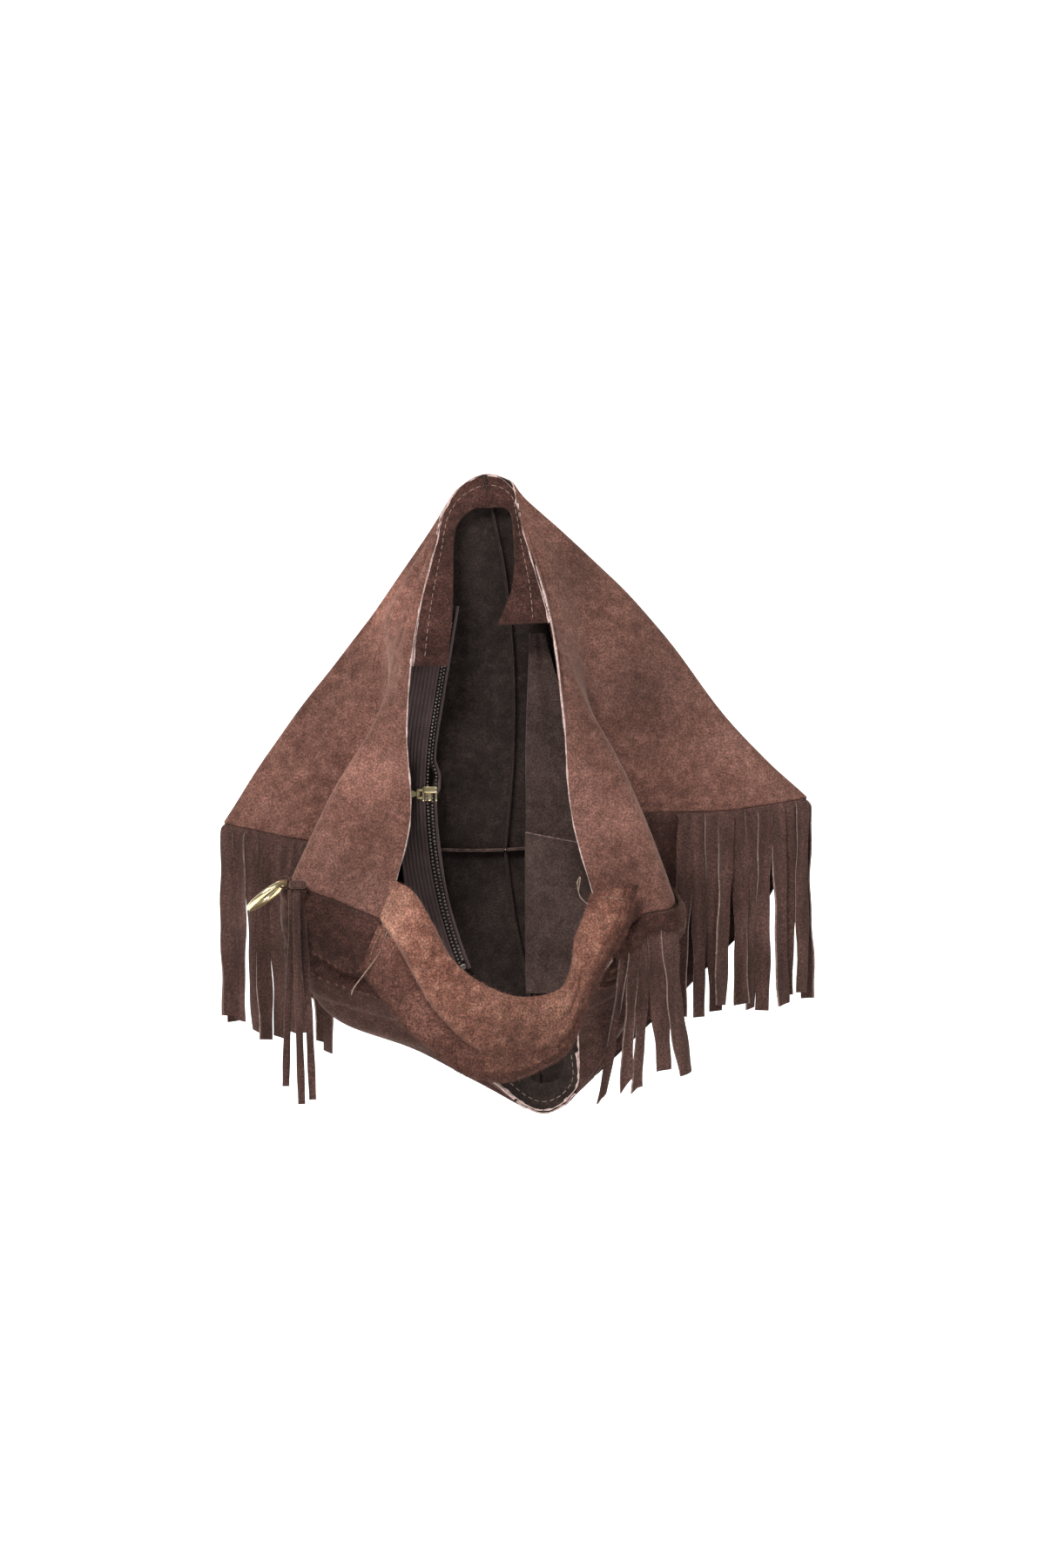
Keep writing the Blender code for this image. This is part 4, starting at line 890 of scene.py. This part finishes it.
# %% The three stretches
left_line, left_out = run_out(*fringe_line(5.0, 3.2))
make_fringe("fringe_left", left_line, left_out, 1.0,
            lambda i: (1.6 * math.sin(2.6 * i) + 2.0, 2.0 + 2 * math.sin(2.1 * i),
                       0.7 * math.sin(1.9 * i), 1 + 0.04 * math.sin(5.1 * i)))
right_line, right_out = run_out(*fringe_line(9.0, 10.45))
make_fringe("fringe_right", right_line, right_out, 1.0,
            lambda i: (3.0 * math.sin(2.3 * i + 1) - 0.5, 2.0 + 2 * math.sin(2.1 * i),
                       0.7 * math.sin(2.9 * i), 1 + 0.03 * math.sin(5.1 * i)))
inner_line, inner_out = fringe_line(12.25, 13.9)
make_fringe("fringe_right_inner", inner_line, inner_out, 0.8,
            lambda i: (9 - 5 * i + 2 * math.sin(2.6 * i), 0.6, 0.4 * math.sin(2.9 * i + 1),
                       1 + 0.05 * math.sin(4 * i)))
# %% [markdown]
# ## Zip
# The zip of the mouth hangs free inside, in a long arc that bulges to the left. Its slider is part way down:
# above it one row of teeth has folded back behind the other, below it the two rows mesh. A tooth is a small
# rounded block set on the tape's edge, one every 1.93 mm. All teeth are made at once, by placing copies of one
# block at their distances along the arc.
# %% Helper: the chain
ZIP = np.array([-28.5, -19.0, -170.0]) * MM
ZIP_RADIUS = 250.0 * MM
ROW_OFFSET, ROW_WIDTH, ROW_THICK = 1.3 * MM, 1.2 * MM, 1.6 * MM
ZIP_TOP, ZIP_BOTTOM = 92.0 * MM, -93.0 * MM
TOOTH_PITCH, STRAIGHT_FROM = 1.93 * MM, 40.0 * MM


def chain_angle(run):
    """How far the chain has turned at a distance along it."""
    return np.minimum(run, STRAIGHT_FROM) / ZIP_RADIUS


def on_chain(run, right=0.0, back=0.0):
    """A point beside the arc: its angle is run / radius, and its radius is less by `right`.

    Above STRAIGHT_FROM the chain hangs straight, along the arc's tangent there.
    """
    run, right, back = np.broadcast_arrays(np.asarray(run, float), right, back)
    angle, over = chain_angle(run), np.maximum(run - STRAIGHT_FROM, 0)
    radius = ZIP_RADIUS - right
    return np.stack([ZIP[0] + ZIP_RADIUS - radius * np.cos(angle) + over * np.sin(angle), ZIP[1] + back,
                     ZIP[2] + radius * np.sin(angle) + over * np.cos(angle)], axis=-1)


def ease(run, start, end):
    """0 before start, 1 after end, and 3t^2 - 2t^3 between."""
    t = np.clip((np.asarray(run, float) - start * MM) / ((end - start) * MM), 0, 1)
    return t * t * (3 - 2 * t)


def rear_row_place(run):
    """Beside the front row, then out of the slider, then back behind it."""
    right = ROW_OFFSET + 1.9 * MM * ease(run, -1, 3) - 3.2 * MM * ease(run, 9, 20)
    return right, 5.5 * MM * ease(run, 3, 9)


def rounded_block(sides=6, levels=4):
    """A superellipsoid from -1 to 1: cos and sin of both angles, each to the power 0.45, poles closed."""
    lat = np.linspace(-math.pi / 2, math.pi / 2, levels + 2)[1:-1]
    lon = np.linspace(0, 2 * math.pi, sides, endpoint=False) + math.pi / sides
    power = lambda value: np.sign(value) * np.abs(value) ** 0.45
    rings = np.stack([power(np.cos(lat))[:, None] * power(np.cos(lon))[None, :],
                      power(np.cos(lat))[:, None] * power(np.sin(lon))[None, :],
                      np.repeat(power(np.sin(lat))[:, None], sides, axis=1)], axis=-1)
    points, patches = closed_tube(rings)
    points[-2:] = [(0, 0, -1), (0, 0, 1)]
    return points, patches


def make_teeth(name, runs, right, back, reach_in, sign):
    """Copies of a rounded block: across the row, through its thickness and along the chain."""
    block, patches = rounded_block(8, 4)
    centre = on_chain(runs, right - sign * reach_in / 2, back)
    angle = chain_angle(runs)
    side = np.stack([np.cos(angle), np.zeros_like(angle), -np.sin(angle)], axis=1)
    up = np.stack([np.sin(angle), np.zeros_like(angle), np.cos(angle)], axis=1)
    depth = np.array([0.0, 1.0, 0.0])
    half_wide = (ROW_WIDTH + reach_in) / 2
    points = (centre[:, None] + side[:, None] * (block[None, :, 0:1] * half_wide[:, None, None])
              + depth * block[None, :, 1:2] * ROW_THICK / 2 + up[:, None] * block[None, :, 2:3] * 0.62 * MM)
    step = (np.arange(len(runs)) * len(block))[:, None, None]
    patches = [((faces[None] + step).reshape(-1, faces.shape[1]), slot) for faces, slot in patches]
    return place_piece(name + "_teeth", points.reshape(-1, 3), patches, [tooth_metal], stands_for=[name])


# %% The two rows of teeth
runs = np.arange(ZIP_BOTTOM + 1 * MM, ZIP_TOP, TOOTH_PITCH)
closed_part = 1 - ease(runs, -10, -4)
mesh_depth = 0.35 * MM * closed_part
make_teeth("zip_row_front", runs, np.full_like(runs, -ROW_OFFSET), np.zeros_like(runs), mesh_depth, -1)
runs = runs + TOOTH_PITCH / 2
right, back = rear_row_place(runs)
make_teeth("zip_row_rear", runs, right, back, mesh_depth, 1)
# %% [markdown]
# The tape beside each row is a ribbon with a corded edge where the teeth are clamped. Its free edge falls back
# into the bag. A ribbon is read from a few lines given beside the chain, and it carries its own map, across in
# X and along in Y, so the woven ribs run with it.
# %% The tapes
TAPE_THICK, TAPE_WIDTH = 0.6 * MM, 16.0 * MM


def make_tape(name, runs, lines):
    """A closed sheet through lines beside the chain, mapped by its true distance across and along."""
    lines = np.stack([np.stack(np.broadcast_arrays(right, back), -1) for right, back in lines], axis=1)
    fine = np.stack([spline(row, np.linspace(0, 1, 18)) for row in lines])
    grid = np.stack([on_chain(runs, fine[:, k, 0], fine[:, k, 1]) for k in range(18)], axis=1)
    u, v = np.meshgrid(runs / MM, np.linspace(0, 1, 18), indexing="ij")
    slack = 0.5 * MM * np.clip(v * 1.5 - 0.3, 0, 1) * ripple(0.09 * u, 2 * v, 0.2)
    grid = grid + normals_of(grid) * slack[..., None]
    points, patches = closed_sheet(grid, TAPE_THICK, (0, 0, 0))
    obj = place_piece(name + "_ribbon", points, patches, [zip_tape], stands_for=[name])
    across = np.concatenate([reach(grid, 1).ravel()] * 2)
    corner = np.empty(len(obj.data.loops), dtype=np.int32)
    obj.data.loops.foreach_get("vertex_index", corner)
    layer = obj.data.uv_layers.new(name="across_and_along")
    along = np.concatenate([np.repeat(runs, 18)] * 2)
    layer.data.foreach_set("uv", np.stack([across[corner], along[corner]], 1).astype(np.float32).ravel())
    return obj


row_side = ROW_OFFSET + ROW_WIDTH / 2 + 0.4 * MM
runs = np.linspace(ZIP_BOTTOM - 8 * MM, ZIP_TOP + 10 * MM, 180)
pinch = np.exp(-(runs / (25 * MM)) ** 2)
width = TAPE_WIDTH - 7.5 * MM * pinch
level = np.zeros_like(pinch)
make_tape("zip_tape_front", runs, [(level - row_side, level), (level - row_side - 3.6 * MM, level),
                                   (-row_side - (3.6 * MM + width) / 2, 3.0 * MM * pinch),
                                   (-row_side - width, 8.0 * MM * pinch)])
runs = np.linspace(ZIP_BOTTOM - 4 * MM, ZIP_TOP + 10 * MM, 180)
right, back = rear_row_place(runs)
beside = right + ROW_WIDTH / 2 + 0.6 * MM
make_tape("zip_tape_rear", runs, [(beside, back), (beside + 0.9 * MM, back + 0.9 * MM),
                                  (beside + 0.8 * MM, back + 2.6 * MM), (beside - 2.6 * MM, back + 4.2 * MM)])


# %% [markdown]
# The slider is cast metal: a front yoke with two legs, a back plate, a web between the rows, and a small bail
# on the left for the pull, whose tongue points behind the rim. Each part is a rounded block, so the gold
# catches the light along soft edges.
# %% Slider, pull and stops
def chain_block(run, across, depth):
    """A rounded block between limits along the chain, across it and through its depth, all in millimetres."""
    block, patches = rounded_block(24, 12)
    low, high = np.array([across[0], depth[0], run[0]]) * MM, np.array([across[1], depth[1], run[1]]) * MM
    local = (low + high) / 2 + block * (high - low) / 2
    return on_chain(local[:, 2], local[:, 0], local[:, 1]), patches


parts = [chain_block((0.4, 4.0), (-4.0, 4.0), (-2.5, -1.1)),
         chain_block((-4.0, 1.4), (-4.0, -2.9), (-2.4, -1.2)),
         chain_block((-4.0, 1.4), (2.9, 4.0), (-2.4, -1.2)),
         chain_block((-3.95, 3.95), (-4.0, 1.5), (1.2, 2.2)),
         chain_block((0.5, 3.9), (-0.25, 0.25), (-1.6, 1.5)),
         chain_block((-2.6, -1.5), (-6.95, -3.7), (-2.3, -1.3)),
         chain_block((1.5, 2.6), (-6.95, -3.7), (-2.3, -1.3)),
         chain_block((-2.0, 2.0), (-6.85, -6.15), (-2.15, -1.45))]
points, patches = gather(parts)
place_piece("slider_body", points, patches, [gold], "zip_slider", ["zip_slider"])
for name, run, across in (("zip_top_stop", (92.4, 95.0), (-1.85, -0.4)),
                          ("zip_bottom_stop", (-96.2, -93.4), (-1.85, 1.85))):
    points, patches = chain_block(run, across, (-1.1, 1.1))
    place_piece(name + "_crimp", points, patches, [tooth_metal], stands_for=[name])
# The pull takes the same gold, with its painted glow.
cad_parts["zip_pull"].data.materials.clear()
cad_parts["zip_pull"].data.materials.append(gold)
print("slider parts:", len(parts))
# %% [markdown]
# ## Pocket
# A pocket of rough suede hangs inside, from under the right end of the facing. Its back is a long strip, and
# the patch sewn on its lower half has a raw, slightly open mouth.
# %% Back and patch
POCKET_LEFT = MM * np.array([(25, -15, -84), (23, -15, -141), (23, -16, -187), (23, -23, -235),
                             (23, -31, -276)])
POCKET_RIGHT = MM * np.array([(33, -15, -84), (48, -14, -141), (58, -16, -194), (61, -24, -235),
                              (61, -32, -276)])
POCKET_MOUTH, POCKET_ROOM = 0.52, 9.0 * MM


def between(left, right, down, columns):
    """Straight lines across from the left curve to the right one."""
    share = np.linspace(0, 1, columns)[None, :, None]
    return spline(left, down)[:, None] * (1 - share) + spline(right, down)[:, None] * share


down = np.linspace(0, 1, 120)
back_grid = between(POCKET_LEFT, POCKET_RIGHT, down, 24)
u, v = np.meshgrid(down, np.linspace(0, 1, 24), indexing="ij")
back_grid[..., 1] += 0.8 * MM * np.clip(1 - 2.2 * u, 0, 1) * ripple(7 * u, 7 * v, 0.4)
points, patches = closed_sheet(back_grid, FACING)
place_piece("pocket_back_suede", points, patches, [suede_pocket, suede_pocket, raw_edge],
            stands_for=["pocket_back"])
down = np.linspace(POCKET_MOUTH, 1, 80)
patch_grid = between(POCKET_LEFT, POCKET_RIGHT, down, 40)
across = np.linspace(0, 1, 40)
open_by = np.cos(np.linspace(0, math.pi / 2, 80))[:, None] * np.sin(math.pi * across)[None, :] ** 0.5
patch_grid[..., 1] -= 1.5 * MM + POCKET_ROOM * open_by
points, patches = gather([closed_sheet(patch_grid, FACING), edge_roll(patch_grid[0], 0.45 * MM)])
patches = patches[:-3] + [(faces, 2) for faces, _ in patches[-3:]]
place_piece("pocket_patch_suede", points, patches, [suede_pocket, suede_pocket, raw_edge],
            stands_for=["pocket_patch"])
# %% [markdown]
# ## Ring
# A plain gold ring hangs in the lace on the left tip, almost edge on, leaning on the fringe. It is a torus: the
# wire's circle carried round the ring's circle.
# %% The ring and its lace
RING_PIVOT = np.array([-103.0, -75.0, -216.0]) * MM
RING_RADIUS, RING_WIRE = 11.3 * MM, 1.5 * MM
droop, tilt = math.radians(37.0), math.radians(8.0)
ring_along = np.array([-math.cos(droop), 0.0, -math.sin(droop)])
ring_hinge = np.array([0.0, 1.0, 0.0]) * math.cos(tilt) + np.cross(ring_along, (0.0, 1.0, 0.0)) * math.sin(tilt)
ring_upright = np.cross(ring_along, ring_hinge)
major = np.linspace(0, 2 * math.pi, 120, endpoint=False)[:, None, None]
minor = np.linspace(0, 2 * math.pi, 28, endpoint=False)[None, :, None]
grid = (RING_PIVOT + ring_along * RING_RADIUS
        + (np.cos(major) * ring_along + np.sin(major) * ring_hinge) * (RING_RADIUS + RING_WIRE * np.cos(minor))
        + ring_upright * RING_WIRE * np.sin(minor))
place_piece("ring_torus", grid.reshape(-1, 3), [(quads_of(wrapped(120, 28)), 0)], [gold],
            "ring", ["ring"])

turn = np.linspace(0, 2 * math.pi, 48, endpoint=False)
inner, outer, half = 2.4 * MM, 3.5 * MM, 1.8 * MM
loop_path = RING_PIVOT + np.stack([np.cos(turn), 0 * turn, np.sin(turn)], 1) * (inner + outer) / 2
section = np.linspace(0, 2 * math.pi, 12, endpoint=False)
wide = half * np.sign(np.cos(section)) * np.abs(np.cos(section)) ** 0.5
deep = (outer - inner) / 2 * np.sin(section)
rings = (loop_path[:, None] + np.array([0, 1.0, 0]) * wide[None, :, None]
         + np.stack([np.cos(turn), 0 * turn, np.sin(turn)], 1)[:, None] * deep[None, :, None])
loop = (rings.reshape(-1, 3), [(quads_of(wrapped(48, 12))[:, ::-1], 0)])
block, block_patches = rounded_block(24, 12)
knot = RING_PIVOT + np.array([7.1, -4.6, -1.1]) * MM + block * np.array([4.4, 5.2, 2.3]) * MM
points, patches = gather([loop, (knot, block_patches)])
place_piece("ring_lace_loop", points, patches, [suede_fringe], stands_for=["ring_lace"])


# %% [markdown]
# ## Stitches
# A row of small stitches runs beside each rim, through the facing and the panel. One stitch is a thread that
# rises out of the suede and dips back in: a thin tube along half an ellipse. A whole row is one array of such
# tubes, placed along a line on the surface.
# %% Helper: a row of stitches
def stitch_row(line, normal, pitch=5.0 * MM, length=3.4 * MM, radius=0.22 * MM, lift=0.25 * MM):
    """Tubes along line[i] + forward x length x s/2 + normal x lift x sqrt(1-s^2), with s from -1 to 1."""
    run = np.concatenate([[0], np.cumsum(np.linalg.norm(np.diff(line, axis=0), axis=1))])
    centres = np.arange(pitch / 2, run[-1], pitch)
    pick = lambda array, places: np.stack([np.interp(places, run, array[:, k]) for k in range(3)], axis=-1)
    s = np.linspace(-1, 1, 7)
    places = centres[:, None] + s[None, :] * length / 2
    out = unit(pick(normal, places))
    path = pick(line, places) + out * (lift * np.sqrt(np.clip(1 - s**2, 0, 1)) - 0.12 * MM)[None, :, None]
    forward = unit(np.gradient(path, axis=1))
    side = unit(np.cross(forward, out))
    turn = np.linspace(0, 2 * math.pi, 6, endpoint=False)
    rings = (path[:, :, None] + side[:, :, None] * (np.cos(turn) * radius)[None, None, :, None]
             + out[:, :, None] * (np.sin(turn) * radius)[None, None, :, None])
    return gather([closed_tube(stitch) for stitch in rings])


# %% Rows along the facings
share = 0.32
rows = []
for grid in (rear_facing_grid, front_facing_grid):
    pick = int(round(share * (grid.shape[1] - 1)))
    out = normals_of(grid)
    for side in (1, -1):
        rows.append(stitch_row(grid[4:-4, pick] + out[4:-4, pick] * side * FACING / 2, out[4:-4, pick] * side,
                               4.2 * MM, 2.6 * MM, 0.17 * MM))
points, patches = gather(rows)
place_piece("rim_stitches", points, patches, [thread])
# %% [markdown]
# The handle's ends are sewn down too, and each leaves a loose thread. A loose thread is a thin tube along a
# spline.
# %% Stitches and threads at the handle's ends
def loose_thread(route, radius=0.28 * MM, count=60):
    """A tube of constant radius along a spline through the route."""
    path = spline(np.array(route) * MM, np.linspace(0, 1, count))
    forward = unit(np.gradient(path, axis=0))
    side = unit(np.cross(forward, [0.0, 1.0, 0.2]))
    up = np.cross(forward, side)
    turn = np.linspace(0, 2 * math.pi, 8, endpoint=False)[None, :, None]
    return closed_tube(path[:, None] + (side[:, None] * np.cos(turn) + up[:, None] * np.sin(turn)) * radius)


FIRST_END, LAST_END = 6, 288
ends = []
for ring_number in (FIRST_END, LAST_END):
    front = np.flatnonzero((band_near[ring_number] > 0.9) & (np.abs(band_w[ring_number]) < 0.85))
    front = front[np.argsort(band_w[ring_number][front])]
    ends.append(stitch_row(band[ring_number, front], band_out[ring_number, front], 3.2 * MM, 2.3 * MM))
ends.append(loose_thread([(-49, -87, -241), (-53, -88.5, -252), (-60, -89, -262), (-66, -88.5, -270),
                          (-67.5, -88, -274)]))
ends.append(loose_thread([(55, -90, -227), (51, -93, -223), (49.5, -94, -216), (51, -94, -213),
                          (50, -93, -220)]))
points, patches = gather(ends)
place_piece("end_stitches", points, patches, [thread])
